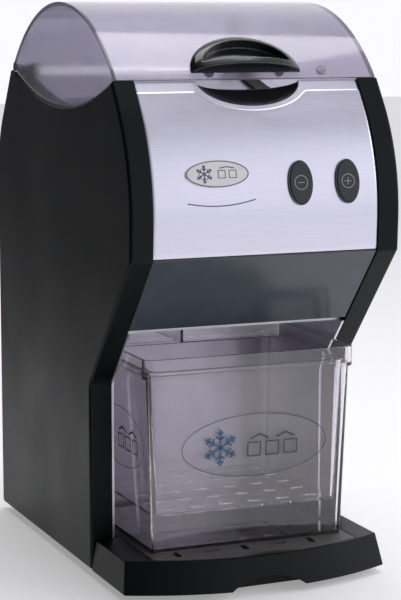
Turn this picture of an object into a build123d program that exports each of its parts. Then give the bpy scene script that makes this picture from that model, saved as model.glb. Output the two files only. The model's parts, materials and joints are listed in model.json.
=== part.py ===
from build123d import *
from math import acos, atan2, cos, hypot, pi, radians, sin, sqrt, tan
import os

# Electric ice crusher for a bar or a food truck counter.
# Millimetres. +X is the right of someone facing the machine, +Y its back, +Z up.
# The origin is on the counter, under the middle of the whole machine.

# ---- overall sizes and the stack of heights ----
WIDTH = 227.6  # over the two side casings
DEPTH = 350.0  # front of the drip tray to the rear cover
FOOT_HEIGHT = 6.0
TRAY_HEIGHT = 25.5
BIN_HEIGHT = 156.5
DECK_RISE = 16.5  # bin rim to the underside of the motor deck
CRUSHER_RISE = 77.5  # top of the motor deck to the crusher shaft
HEAD_RISE = 119.0  # crusher shaft to the front tip of the casing
REAR_TIP_RISE = 5.0  # the rear tip is this much above the front tip
LID_RISE = 60.2  # front tip to the crown of the lid
LID_DIP = 26.3  # depth of the hollow that the lid lies in, under the tips' mean height
LID_INSET = 2.3  # the lid's ends stand this far inside the casings' sides

# ---- walls and sheets ----
CASING_SIDE = 18.8  # width of each side casing, seen as a bezel from the front
CASING_WALL = 3.0
COVER_WALL = 2.5
PANEL_SHEET = 1.0
PANEL_INSET = 0.8  # the panel lies this far inside the casing's outline
PANEL_HEM = 1.8  # the panel stops this far above the corner with the guard
GUARD_LIP = 5.0
GUARD_LIP_WALL = 1.5
GUARD_WALL = 3.0
DECK_SHEET = 2.5
BASE_SHEET = 2.0
LINER_SHEET = 1.8
HOPPER_SHEET = 1.2
LID_WALL = 3.0
BIN_WALL = 2.5
BASKET_WALL = 2.0

# ---- clearances ----
SEAM = 0.2  # between fixed neighbours
LID_GAP = 0.6  # lid over the casings
SLIDE_GAP = 0.3  # under and beside what slides
RUN_GAP = 0.05  # radial, shaft in a bore
BUTTON_GAP = 0.35
BIN_SIDE_GAP = 2.0
SWEEP_GAP = 1.0  # around what spins
TINY = 0.1

# ---- casing outline ----
FRONT_TIP_IN = 49.0  # front tip, behind the tray's front
BROW_IN = 6.5  # corner that the panel's curve is rounded from
BROW_DROP = 60.5  # below the front tip
BROW_RADIUS = 150.0
CHIN_IN = 9.5  # corner between the panel and the chute guard
CHIN_DROP = 135.0
CHIN_RADIUS = 4.0
KNEE_IN = 104.0  # corner between the guard's slope and the upright front edge
KNEE_DROP = 44.0  # below the deck's underside
KNEE_RADIUS = 15.0
REAR_TIP_IN = 45.0
REAR_BEND_DROP = 69.0  # below the rear tip
REAR_RADIUS = 95.0
TOE_RADIUS = 4.0
CASING_EDGE = 2.5  # rounding of the casing's outer edge
CASING_INNER_EDGE = 0.8  # rounding beside the panel

# ---- tray and grid ----
TRAY_BULGE = 27.0  # bow of the tray's front edge
TRAY_DRAFT = 3.8  # the sides lean in by this much
TRAY_FRONT_DRAFT = 8.0
TRAY_SHOULDER = 1.5  # gap between the tray's wings and the bezels
TRAY_FLOOR = 2.0
TRAY_WALL = 4.0
TRAY_NOSE_WALL = 15.0  # from the finger arch to the basin
GRID_SHEET = 2.5
GRID_HALF = 88.0
GRID_RIM = 3.5  # tray rim in front of the grid
GRID_LEDGE = 4.0
NOTCH_HALF = 32.0
NOTCH_DEPTH = 9.0
ARCH_HALF = 32.0
ARCH_HEIGHT = 10.5
ARCH_REACH = 14.0
GRID_SLOT_LENGTH = 15.0
GRID_SLOT_WIDTH = 5.0
GRID_COLUMNS = 5

# ---- bin and basket ----
BIN_FRONT_IN = 37.0
BIN_DEPTH = 160.0
BAY_BACK_GAP = 8.0
BIN_RIM_HEIGHT = 16.0
BIN_STEP = 3.0
BIN_TAPER = 5.0  # each side, rim to floor
BIN_CORNER = 9.0
BASKET_CORNER = 16.0  # both corners are measured at the bin's rim
TIGHT_CORNER = 2.5  # no corner is rounded less than this
BASKET_RIM = 2.5
BASKET_FLOOR_RISE = 28.5  # basket floor above the bin's underside
BASKET_GAP = 1.5
BASKET_TAPER = 5.0
BASKET_LIP_GAP = 0.5
BASKET_SLOT_LENGTH = 12.0
BASKET_SLOT_WIDTH = 3.5
BASKET_SLOT_COLUMNS = 6
BASKET_SLOT_ROWS = 5
BASKET_SLOT_MARGIN = 14.0

# ---- crusher ----
CRUSHER_IN = 115.0  # shaft behind the tray's front
GEAR_SPACE = 35.0  # kept beside the crusher for the gear train
HOUSING_WALL = 8.0
CAVITY_REACH = 38.0  # half the cavity, front to back
CAVITY_RISE = 42.0  # half the cavity, up and down
SHAFT_RADIUS = 6.0
BEARING_RADIUS = 14.0
SEAL_WIDTH = 3.0
DISC_RADIUS = 30.0
DISC_ROOT = 17.0
DISC_WIDTH = 4.0
DISC_PITCH = 14.0
DISC_TEETH = 4
DISC_STAGGER = 13.0  # degrees from one disc to the next
TOOTH_TIP = 0.11  # radians either side of a tooth's middle
TOOTH_BACK = 0.55
TOOTH_FACE = 0.30
TOOTH_RELIEF = 1.5
SPACER_RADIUS = 11.0
COMB_WIDTH = 5.0
COMB_THICK = 6.0
COMB_DROP = 12.0
COMB_BACK = 4.0
COMB_TIP_GAP = 3.0  # between a finger's tip and the spacers
POST_RADIUS = 3.0

# ---- hopper and chute ----
THROAT_SIDE = 6.0  # the throat inside the cavity's ends
THROAT_REACH = 34.0
FUNNEL_RISE = 41.0
NECK_LENGTH = 6.0
MOUTH_FRONT_IN = 75.0
MOUTH_REAR_IN = 115.0
MOUTH_SIDE = 7.0
DECK_BELOW_LID = 3.0
CHUTE_WALL = 2.5
CHUTE_SIDE = 7.0  # the chute inside the cavity's ends
CHUTE_REACH = 37.0
CHUTE_CLEAR = 5.0  # chute's mouth above the bin's rim
CHUTE_FLANGE = 8.0

# ---- gear train ----
PRESSURE = radians(25.0)
ADDENDUM = 0.9
DEDENDUM = 1.25
BACKLASH = 0.35
FIRST_MODULE = 1.5
PINION_TEETH = 12
WHEEL_TEETH = 60
SECOND_MODULE = 2.0
IDLER_TEETH = 14
OUTPUT_TEETH = 42
GEAR_WIDTH = 10.0
GEAR_GAP = 2.0  # beside each gear
MOTOR_OFFSET = 102.0  # motor shaft behind the crusher shaft
MOTOR_DROP = 5.0
GEARBOX_WALL = 2.5
GEARBOX_LUG = 5.0
PINION_SPACE = 10.0  # kept around the pinion for its fitting
OUTPUT_LUG_ANGLES = (100.0, 180.0)
IDLER_LUG_ANGLES = (-115.0, -20.0)
IDLER_RADIUS = 5.0

# ---- motor ----
MOTOR_RADIUS = 42.0
MOTOR_LENGTH = 92.0
MOTOR_SET_BACK = 6.0  # from the gearbox
MOTOR_WALL = 4.0
BELL_LENGTH = 16.0
ARMATURE_RADIUS = 27.0
ARMATURE_LENGTH = 56.0
MOTOR_SHAFT = 5.0
FAN_RADIUS = 34.0
FAN_BLADES = 8
FAN_GAP = 2.0
STATOR_RADIUS = 29.0
STATOR_START = 14.0  # into the can from its open end
STATOR_END = 12.0  # from the drive end
MOTOR_GROOVES = 12
GROOVE_RADIUS = 1.6
GROOVE_MARGIN = 8.0
BELL_HOLES = 10
BELL_HOLE_RADIUS = 4.5
BELL_HOLE_CIRCLE = 24.0
FAN_WIDTH = 9.0
FAN_WEB = 1.5
FAN_HUB = 4.0
BLADE_THICK = 1.6
SADDLE_THICK = 4.0
SADDLE_FOOT = 12.0
SADDLE_FOOT_THICK = 3.0
SADDLE_BELOW_AXIS = 12.0

# ---- controls on the panel ----
BUTTON_HALF_WIDTH = 8.9
BUTTON_HALF_HEIGHT = 15.9
BUTTON_FROM_SIDE = 26.7
BUTTON_PITCH = 40.5
BUTTON_DROP = 79.0  # below the front tip
BUTTON_PROUD = 2.2
BUTTON_TRAVEL = 2.5
BEZEL_WIDTH = 1.0
BEZEL_LIP = 0.6
BEZEL_PROUD = 1.2
SWITCH_DEPTH = 13.0
SWITCH_SIZE = 8.0
SWITCH_HEIGHT = 5.0
STEM_RADIUS = 3.0
STEM_LENGTH = 0.8
BOARD_THICK = 1.6
BADGE_HALF_WIDTH = 26.2
BADGE_HALF_HEIGHT = 10.5
BADGE_FROM_SIDE = 53.6
BADGE_DROP = 70.3
BADGE_THICK = 1.2

# ---- lid handle and finger recess ----
HANDLE_HALF = 47.0
HANDLE_REACH = 36.0
HANDLE_BULGE = 13.0
HANDLE_RIM = 9.0  # width of the rim around the scoop
HANDLE_LEDGE = 6.5  # height of the bar under the scoop
HANDLE_FLOOR = 1.5  # plastic left over the lid in the scoop
HANDLE_SCREW_X = 30.0
HANDLE_SCREW_RISE = 3.4
HANDLE_RISE = 4.5  # lip of the handle above the front tip
HANDLE_SCREW_LENGTH = 7.5
RECESS_HALF = 44.5
RECESS_REACH = 24.5
RECESS_DEPTH = 14.0
CUP_WALL = 2.0
SENSOR_X = 68.0
SENSOR_DROP = 16.0
SENSOR_LENGTH = 22.0
SENSOR_WIDTH = 10.0
SENSOR_THICK = 7.0
MAGNET_UP = 10.3  # along the crown from the lid's front edge
MAGNET_RADIUS = 4.0
MAGNET_THICK = 3.0

# ---- hinge ----
HINGE_IN = 49.0
HINGE_BELOW = 1.5  # axis below the rear tip
KNUCKLE_RADIUS = 5.4
PIN_RADIUS = 2.5
NOTCH_RADIUS = 6.6
BRACKET_RADIUS = 6.0
BRACKET_WIDTH = 6.0
ARM_WIDTH = 9.0
ARM_LENGTH = 35.5
KNUCKLE_GAP = 0.5  # between a knuckle or a bracket and the casing's inner plane

# ---- service parts ----
GLAND_BORE = 3.75
GLAND_RADIUS = 9.0
GLAND_NECK = 7.0
GLAND_NUT = 4.0
GLAND_LENGTH = 14.0
GLAND_X = 60.0
GLAND_RISE = 34.0
FOOT_RADIUS = 11.0
FOOT_SCREW_GAP = 0.5
FOOT_SIDE = 33.8
FOOT_FRONT_IN = 125.0
FOOT_REAR_IN = 25.0
SCREW_RADIUS = 2.0
SCREW_HEAD = 4.0
SCREW_HEAD_HEIGHT = 2.2
RAIL_HALF = 7.0
RAIL_THICK = 4.0
REAR_SCREW_IN = 9.0  # inside the rear cover's edge
REAR_SCREW_RISES = (30.0, 100.0, 170.0)
VENT_COUNT = 9
VENT_PITCH = 11.0
VENT_WIDTH = 5.0
VENT_SIDE = 30.0  # plain edge beside the vents
VENT_DROP = 20.0  # lowest vent below the deck
CAPACITOR_RADIUS = 17.5
CAPACITOR_HEIGHT = 65.0
TAB_WIDTH = 6.0
TAB_THICK = 1.0
TAB_HEIGHT = 9.0
CLIP_SHEET = 1.5
CLIP_HEIGHT = 22.0
CLIP_EAR = 14.0
BOARD_SIZE = 80.0
BOARD_RISE = 62.0
STANDOFF = 6.0
TERMINAL_WAYS = 4
TERMINAL_PITCH = 10.0
TERMINAL_DEPTH = 18.0
TERMINAL_HEIGHT = 16.0
TERMINAL_WELL = 3.0
TERMINAL_BEHIND = 6.0

# ---- places worked out from the sizes above ----
OUTER_X = WIDTH / 2
INNER_X = OUTER_X - CASING_SIDE
LID_X = OUTER_X - LID_INSET
FILL_X = INNER_X - SEAM  # half width of what fits between the casings
FRONT_Y = -DEPTH / 2
REAR_Y = DEPTH / 2
BASE_Z = FOOT_HEIGHT
BASE_TOP = BASE_Z + BASE_SHEET
TRAY_TOP = BASE_Z + TRAY_HEIGHT
BIN_Z = TRAY_TOP + SLIDE_GAP
BIN_TOP = BIN_Z + BIN_HEIGHT
DECK_Z = BIN_TOP + DECK_RISE
DECK_TOP = DECK_Z + DECK_SHEET
CRUSHER_Y = FRONT_Y + CRUSHER_IN
CRUSHER_Z = DECK_TOP + CRUSHER_RISE
TIP_Z = CRUSHER_Z + HEAD_RISE
FRONT_TIP = (FRONT_Y + FRONT_TIP_IN, TIP_Z)
BROW = (FRONT_Y + BROW_IN, TIP_Z - BROW_DROP)
CHIN = (FRONT_Y + CHIN_IN, TIP_Z - CHIN_DROP)
KNEE = (FRONT_Y + KNEE_IN, DECK_Z - KNEE_DROP)
REAR_TIP = (REAR_Y - REAR_TIP_IN, TIP_Z + REAR_TIP_RISE)
REAR_BEND = (REAR_Y, REAR_TIP[1] - REAR_BEND_DROP)
LID_TOP = TIP_Z + LID_RISE
HINGE_Y = REAR_Y - HINGE_IN
HINGE_Z = REAR_TIP[1] - HINGE_BELOW
BIN_HALF = FILL_X - LINER_SHEET - BIN_SIDE_GAP
BIN_FRONT = FRONT_Y + BIN_FRONT_IN
BIN_REAR = BIN_FRONT + BIN_DEPTH
BAY_REAR = BIN_REAR + BAY_BACK_GAP
CAVITY_HALF = INNER_X - GEAR_SPACE - HOUSING_WALL
HOUSING_HALF = CAVITY_HALF + HOUSING_WALL
THROAT_HALF = CAVITY_HALF - THROAT_SIDE
CHUTE_HALF = CAVITY_HALF - CHUTE_SIDE
HOUSING_TOP = CRUSHER_Z + CAVITY_RISE
HOUSING_BOTTOM = CRUSHER_Z - CAVITY_RISE
MOTOR_Y = CRUSHER_Y + MOTOR_OFFSET
MOTOR_Z = CRUSHER_Z - MOTOR_DROP
SILL_X = FILL_X - LINER_SHEET - SWEEP_GAP  # half width of the tray between the liners


def block(low, high):
    """A box between two opposite corners."""
    size = [b - a for a, b in zip(low, high)]
    return Pos(*low) * Box(*size, align=(Align.MIN, Align.MIN, Align.MIN))


def rod(start, direction, radius, length):
    """A cylinder from start along direction."""
    align = (Align.CENTER, Align.CENTER, Align.MIN)
    return Plane(origin=start, z_dir=direction) * Cylinder(radius, length, align=align)


def tube(start, direction, outer, inner, length):
    """A round sleeve from start along direction."""
    return rod(start, direction, outer, length) - rod(start, direction, inner, length)


def slab(face, low, high):
    """A YZ face carried from x = low to x = high."""
    return extrude(Plane.YZ.offset(low) * face, high - low)


def both_sides(piece):
    """The piece and its mirror image across the middle."""
    return Compound(children=[piece, mirror(piece, about=Plane.YZ)])


def circle_through(a, b, c):
    """Centre and radius of the circle through three points."""
    ax, ay, bx, by, cx, cy = *a, *b, *c
    twist = 2 * (ax * (by - cy) + bx * (cy - ay) + cx * (ay - by))
    squares = [ax * ax + ay * ay, bx * bx + by * by, cx * cx + cy * cy]
    x = (squares[0] * (by - cy) + squares[1] * (cy - ay) + squares[2] * (ay - by)) / twist
    y = (squares[0] * (cx - bx) + squares[1] * (ax - cx) + squares[2] * (bx - ax)) / twist
    return (x, y), hypot(ax - x, ay - y)


def unit(a, b):
    """Direction from a to b."""
    length = hypot(b[0] - a[0], b[1] - a[1])
    return (b[0] - a[0]) / length, (b[1] - a[1]) / length


def round_center(before, corner, after, radius):
    """Centre of the arc that rounds a corner."""
    u = unit(corner, before)
    v = unit(corner, after)
    half = acos(u[0] * v[0] + u[1] * v[1]) / 2
    way = unit((0, 0), (u[0] + v[0], u[1] + v[1]))
    reach = radius / sin(half)
    return corner[0] + way[0] * reach, corner[1] + way[1] * reach


def shifted(points, distance):
    """An open run of points moved to its left by distance, with mitred corners."""
    moved = []
    for i, point in enumerate(points):
        before = unit(points[max(i - 1, 0)], points[max(i, 1)])
        after = unit(points[min(i, len(points) - 2)], points[min(i + 1, len(points) - 1)])
        left = (-before[1] - after[1], before[0] + after[0])
        scale = 2 * distance / (left[0] ** 2 + left[1] ** 2)
        moved.append((point[0] + left[0] * scale, point[1] + left[1] * scale))
    return moved


def strip(points, radii, near, far):
    """The face between a rounded run of points moved left by near and by far.
    Every corner turns left, so its radius shrinks by as much as it moves."""
    sides = []
    for distance in (near, far):
        run = shifted(points, distance)
        if radii:
            sides.append(FilletPolyline(*run, radius=[r - distance for r in radii]))
        else:
            sides.append(Line(*run))
    start = Line(sides[0] @ 0, sides[1] @ 0)
    end = Line(sides[0] @ 1, sides[1] @ 1)
    return make_face(sides[0] + sides[1] + start + end)


# The hollow in the casings' top and the lid's crown, as circles in the YZ plane.
DIP_MIDDLE = ((FRONT_TIP[0] + REAR_TIP[0]) / 2, (FRONT_TIP[1] + REAR_TIP[1]) / 2 - LID_DIP)
DIP_CENTER, DIP_RADIUS = circle_through(REAR_TIP, DIP_MIDDLE, FRONT_TIP)
LID_REAR = (REAR_TIP[0], REAR_TIP[1] + LID_GAP)
LID_FRONT = (FRONT_TIP[0], FRONT_TIP[1] + LID_GAP)
LID_DIP_POINT = (DIP_MIDDLE[0], DIP_MIDDLE[1] + LID_GAP)
LID_CROWN = ((LID_REAR[0] + LID_FRONT[0]) / 2, LID_TOP)
CROWN_CENTER, CROWN_RADIUS = circle_through(LID_REAR, LID_CROWN, LID_FRONT)
BROW_CENTER = round_center(FRONT_TIP, BROW, CHIN, BROW_RADIUS)


def casing_outline():
    """Side view of the machine without its lid."""
    corners = [REAR_TIP, REAR_BEND, (REAR_Y, BASE_Z), (KNEE[0], BASE_Z), KNEE, CHIN, BROW, FRONT_TIP]
    radii = [REAR_RADIUS, TOE_RADIUS, TOE_RADIUS, KNEE_RADIUS, CHIN_RADIUS, BROW_RADIUS]
    return make_face(FilletPolyline(*corners, radius=radii) + ThreePointArc(FRONT_TIP, DIP_MIDDLE, REAR_TIP))


OUTLINE = casing_outline()


def disc(center, radius, low, high):
    """A round bar along X, given by its centre in the side view."""
    return rod((low, *center), (1, 0, 0), radius, high - low)


def panel_plane(x, z):
    """Plane that touches the front panel at x, z, facing out."""
    radius = BROW_RADIUS - PANEL_INSET
    y = BROW_CENTER[0] - sqrt(radius**2 - (z - BROW_CENTER[1]) ** 2)
    out = unit(BROW_CENTER, (y, z))
    return Plane(origin=(x, y, z), x_dir=(1, 0, 0), z_dir=(0, *out))


def on_plane(plane, shape, low, high):
    """A flat shape on the plane, carried from low to high along its normal."""
    return extrude(plane.offset(low) * shape, high - low)


PLUS_PLANE = panel_plane(INNER_X - BUTTON_FROM_SIDE, TIP_Z - BUTTON_DROP)
MINUS_PLANE = panel_plane(INNER_X - BUTTON_FROM_SIDE - BUTTON_PITCH, TIP_Z - BUTTON_DROP)
BADGE_PLANE = panel_plane(BADGE_FROM_SIDE - INNER_X, TIP_Z - BADGE_DROP)

# The recess hangs below the panel's top edge, square to the panel there.
PANEL_SLOPE = unit(BROW, FRONT_TIP)
RECESS_PLANE = Plane(
    origin=(0, *FRONT_TIP), x_dir=(1, 0, 0), z_dir=(0, -PANEL_SLOPE[1], PANEL_SLOPE[0])
)
HANDLE_Z = TIP_Z + HANDLE_RISE
HANDLE_Y = CROWN_CENTER[0] - sqrt(CROWN_RADIUS**2 - (HANDLE_Z - CROWN_CENTER[1]) ** 2)
HANDLE_PLANE = Plane(
    origin=(0, HANDLE_Y, HANDLE_Z), x_dir=(1, 0, 0), z_dir=(0, *unit(CROWN_CENTER, (HANDLE_Y, HANDLE_Z)))
)


def egg(plane, half_width, half_height, half_depth):
    """An ellipsoid about the plane's origin."""
    return plane * scale(Sphere(1.0), by=(half_width, half_height, half_depth))


def screw(start, direction, length):
    """A pan-head screw: start is under its head, direction the way it is driven."""
    head = rod(start, [-a for a in direction], SCREW_HEAD, SCREW_HEAD_HEIGHT)
    return head + rod(start, direction, SCREW_RADIUS, length)


def drill(piece, starts, direction, length):
    """Screw holes through a piece."""
    for start in starts:
        before = [a - b * length for a, b in zip(start, direction)]
        piece = piece - rod(before, direction, SCREW_RADIUS, 2 * length)
    return piece


# ---- casings, covers and frame ----
DECK_REAR = HINGE_Y - BRACKET_RADIUS
REAR_LEAN = (REAR_BEND[0] - REAR_TIP[0]) / (REAR_TIP[1] - REAR_BEND[1])
REAR_SCREW_X = FILL_X - REAR_SCREW_IN
REAR_SCREWS = [
    (side * REAR_SCREW_X, REAR_Y - SEAM, BASE_Z + rise) for side in (-1, 1) for rise in REAR_SCREW_RISES
]
FEET = [
    (side * (OUTER_X - FOOT_SIDE), y)
    for side in (-1, 1)
    for y in (FRONT_Y + FOOT_FRONT_IN, REAR_Y - FOOT_REAR_IN)
]
GLAND_Z = BASE_Z + GLAND_RISE


def side_casing():
    """Right-hand moulded shell, open towards the inside."""
    shell = slab(OUTLINE, INNER_X, OUTER_X)
    shell = fillet(shell.faces().sort_by(Axis.X)[-1].edges(), CASING_EDGE)
    shell = fillet(shell.faces().sort_by(Axis.X)[0].edges(), CASING_INNER_EDGE)
    hollow = slab(offset(OUTLINE, -CASING_WALL, kind=Kind.INTERSECTION), INNER_X - 1, OUTER_X - CASING_WALL)
    return shell - hollow - disc((HINGE_Y, HINGE_Z), NOTCH_RADIUS, INNER_X - 1, OUTER_X + 1)


def rear_cover():
    """Back sheet with ventilation slots and the cable entry."""
    run = [(REAR_Y - SEAM, BASE_TOP + SEAM), (REAR_BEND[0] - SEAM, REAR_BEND[1]), REAR_TIP]
    cover = slab(strip(run, [REAR_RADIUS], 0, COVER_WALL), -FILL_X, FILL_X)
    cover = cover - block((-OUTER_X, 0, HINGE_Z - NOTCH_RADIUS), (OUTER_X, REAR_Y, LID_TOP))
    flange_half = INNER_X - KNUCKLE_GAP - BRACKET_WIDTH - SWEEP_GAP
    flange_top = HINGE_Z - KNUCKLE_RADIUS - 3.0
    reach = (REAR_TIP[1] - flange_top) * REAR_LEAN - COVER_WALL / 2
    low = (-flange_half, DECK_REAR + SEAM, flange_top - COVER_WALL)
    cover = cover + block(low, (flange_half, REAR_TIP[0] + reach, flange_top))
    slot = Plane.XZ * SlotOverall(2 * (FILL_X - VENT_SIDE), VENT_WIDTH)
    for row in range(VENT_COUNT):
        height = DECK_Z - VENT_DROP + row * VENT_PITCH
        cover = cover - Pos(0, REAR_Y + 1, height) * extrude(slot, VENT_SIDE)
    cover = cover - rod((GLAND_X, REAR_Y + 1, GLAND_Z), (0, -1, 0), GLAND_NECK, 2 * GLAND_LENGTH)
    return drill(cover, REAR_SCREWS, (0, -1, 0), 2 * COVER_WALL)


def frame_rails():
    """Two upright strips that the rear cover is screwed to."""
    face_y = REAR_Y - SEAM - COVER_WALL
    rails = []
    for side in (-1, 1):
        middle = side * REAR_SCREW_X
        low = (middle - RAIL_HALF, face_y - RAIL_THICK, BASE_TOP + SEAM)
        rails.append(block(low, (middle + RAIL_HALF, face_y, DECK_Z - SEAM)))
    return drill(Compound(children=rails), REAR_SCREWS, (0, -1, 0), 2 * RAIL_THICK)


def front_panel():
    """Curved stainless panel with the recess and button cut-outs."""
    rise = unit(CHIN, BROW)
    run = [FRONT_TIP, BROW, (CHIN[0] + rise[0] * PANEL_HEM, CHIN[1] + rise[1] * PANEL_HEM)]
    panel = slab(strip(run, [BROW_RADIUS], PANEL_INSET, PANEL_INSET + PANEL_SHEET), -FILL_X, FILL_X)
    panel = panel - egg(RECESS_PLANE, RECESS_HALF, RECESS_REACH, RECESS_DEPTH)
    hole = Ellipse(BUTTON_HALF_WIDTH + BEZEL_WIDTH + TINY, BUTTON_HALF_HEIGHT + BEZEL_WIDTH + TINY)
    for plane in (MINUS_PLANE, PLUS_PLANE):
        panel = panel - on_plane(plane, hole, -8, 8)
    return panel - block((-OUTER_X, FRONT_Y, TIP_Z - LID_GAP), (OUTER_X, 0, LID_TOP))


def recess_cup():
    """Black bowl behind the panel for the fingers that lift the lid."""
    cup = egg(RECESS_PLANE, RECESS_HALF + CUP_WALL, RECESS_REACH + CUP_WALL, RECESS_DEPTH + CUP_WALL)
    cup = cup - egg(RECESS_PLANE, RECESS_HALF, RECESS_REACH, RECESS_DEPTH)
    behind = PANEL_INSET + PANEL_SHEET + TINY
    below = Pos(0, -RECESS_HALF - 1) * Rectangle(4 * RECESS_HALF, 2 * RECESS_HALF)
    return cup & on_plane(RECESS_PLANE, below, -RECESS_HALF, -behind)


def chute_guard():
    """Smoked cover over the discharge chute, with a thick lower lip."""
    slope = unit(CHIN, KNEE)
    end = (CHIN[0] + slope[0] * (DECK_TOP - CHIN[1]) / slope[1], DECK_TOP)
    guard = slab(strip([CHIN, end], None, PANEL_INSET, PANEL_INSET + GUARD_WALL), -FILL_X, FILL_X)
    lip = (end[0] - slope[0] * GUARD_LIP, end[1] - slope[1] * GUARD_LIP)
    thick = PANEL_INSET + GUARD_WALL + GUARD_LIP_WALL
    return guard + slab(strip([lip, end], None, PANEL_INSET, thick), -FILL_X, FILL_X)


def base_plate():
    plate = block((-FILL_X, KNEE[0], BASE_Z), (FILL_X, REAR_Y - SEAM, BASE_TOP))
    starts = [(x, y, BASE_Z) for x, y in FEET]
    return drill(plate, starts, (0, 0, 1), 2 * BASE_SHEET)


def bay_back():
    """Wall behind the bin, between the bay and the electrics."""
    low = (-FILL_X, BAY_REAR, BASE_TOP + SEAM)
    return block(low, (FILL_X, BAY_REAR + COVER_WALL, DECK_Z - SEAM))


def bay_liner():
    """Right-hand wall of the bin's bay."""
    inside = offset(OUTLINE, -SEAM, kind=Kind.INTERSECTION)
    wall = slab(inside, FILL_X - LINER_SHEET, FILL_X)
    return wall & block((0, FRONT_Y, BASE_TOP + SEAM), (OUTER_X, BAY_REAR - SEAM, DECK_Z - SEAM))


def motor_deck():
    """Steel plate that carries the crusher and the motor."""
    slope = unit(CHIN, KNEE)
    behind = PANEL_INSET + GUARD_WALL + GUARD_LIP_WALL + SEAM
    front = CHIN[0] + slope[0] * (DECK_Z - CHIN[1]) / slope[1] - behind / slope[1]
    plate = block((-FILL_X, front, DECK_Z), (FILL_X, REAR_Y - SEAM - COVER_WALL - SEAM, DECK_TOP))
    half = CHUTE_HALF + SEAM
    reach = CHUTE_REACH + SEAM
    return plate - block(
        (-half, CRUSHER_Y - reach, DECK_Z - 1), (half, CRUSHER_Y + reach, DECK_TOP + 1)
    )


# ---- hopper, crusher and chute ----
MOUTH_FRONT = FRONT_Y + MOUTH_FRONT_IN
MOUTH_REAR = REAR_Y - MOUTH_REAR_IN
MOUTH_HALF = FILL_X - MOUTH_SIDE
MOUTH_MIDDLE = (MOUTH_FRONT + MOUTH_REAR) / 2
THROAT_Z = HOUSING_TOP + SEAM
FUNNEL_Z = THROAT_Z + FUNNEL_RISE


def funnel(grow):
    """The hopper's outline grown sideways, from the throat to above the deck."""
    throat = Rectangle(2 * (THROAT_HALF + grow), 2 * (THROAT_REACH + grow))
    mouth = Rectangle(2 * (MOUTH_HALF + grow), MOUTH_REAR - MOUTH_FRONT + 2 * grow)
    low = Pos(0, CRUSHER_Y, THROAT_Z) * throat
    high = Pos(0, MOUTH_MIDDLE, FUNNEL_Z) * mouth
    collar = extrude(high, LID_TOP - FUNNEL_Z)
    neck = extrude(Pos(0, CRUSHER_Y, THROAT_Z - NECK_LENGTH) * throat, NECK_LENGTH)
    return loft([low, high]) + collar + neck


def hopper():
    """Stainless funnel hung under the deck."""
    body = funnel(HOPPER_SHEET) - funnel(0)
    return body - disc(DIP_CENTER, DIP_RADIUS + DECK_BELOW_LID + HOPPER_SHEET, -OUTER_X, OUTER_X)


def hopper_deck():
    """Curved stainless deck under the lid, with the hopper's mouth in it."""
    near = DIP_RADIUS + DECK_BELOW_LID
    sheet = disc(DIP_CENTER, near + HOPPER_SHEET, -FILL_X, FILL_X) - disc(DIP_CENTER, near, -OUTER_X, OUTER_X)
    front = FRONT_TIP[0] + PANEL_INSET + PANEL_SHEET + SEAM
    sheet = sheet & block((-OUTER_X, front, 0), (OUTER_X, DECK_REAR, TIP_Z + REAR_TIP_RISE))
    mouth = block((-MOUTH_HALF, MOUTH_FRONT, 0), (MOUTH_HALF, MOUTH_REAR, LID_TOP))
    margin = CUP_WALL + SEAM
    cup = egg(RECESS_PLANE, RECESS_HALF + margin, RECESS_REACH + margin, RECESS_DEPTH + margin)
    return sheet - mouth - cup


def crusher_housing():
    """Cast box around the breaker discs, open above and below."""
    reach = CAVITY_REACH + HOUSING_WALL
    box = block(
        (-HOUSING_HALF, CRUSHER_Y - reach, HOUSING_BOTTOM), (HOUSING_HALF, CRUSHER_Y + reach, HOUSING_TOP)
    )
    cavity = block(
        (-CAVITY_HALF, CRUSHER_Y - CAVITY_REACH, HOUSING_BOTTOM - 1),
        (CAVITY_HALF, CRUSHER_Y + CAVITY_REACH, HOUSING_TOP + 1),
    )
    throat = THROAT_HALF + HOPPER_SHEET + SEAM
    reach_in = THROAT_REACH + HOPPER_SHEET + SEAM
    neck = block(
        (-throat, CRUSHER_Y - reach_in, HOUSING_TOP - NECK_LENGTH - SEAM),
        (throat, CRUSHER_Y + reach_in, HOUSING_TOP + 1),
    )
    bore = disc((CRUSHER_Y, CRUSHER_Z), BEARING_RADIUS, -HOUSING_HALF - 1, HOUSING_HALF + 1)
    return box - cavity - neck - bore


def shaft_bearings():
    """A plain bearing in each end wall of the crusher housing."""
    start = (CAVITY_HALF + SEAL_WIDTH, CRUSHER_Y, CRUSHER_Z)
    width = HOUSING_WALL - SEAL_WIDTH
    return both_sides(tube(start, (1, 0, 0), BEARING_RADIUS, SHAFT_RADIUS + RUN_GAP, width))


def shaft_seals():
    """A lip seal on the wet side of each bearing."""
    start = (CAVITY_HALF, CRUSHER_Y, CRUSHER_Z)
    return both_sides(tube(start, (1, 0, 0), BEARING_RADIUS, SHAFT_RADIUS + RUN_GAP, SEAL_WIDTH))


def disc_places():
    """Middles of the breaker discs along the shaft, as many as the cavity holds."""
    count = int((2 * CAVITY_HALF - DISC_PITCH) / DISC_PITCH) + 1
    if count % 2 == 0:
        count = count - 1
    return [(i - (count - 1) / 2) * DISC_PITCH for i in range(count)]


def polar(center, radius, angle):
    """A point of the side view, at an angle in radians from +Y."""
    return center[0] + radius * cos(angle), center[1] + radius * sin(angle)


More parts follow.
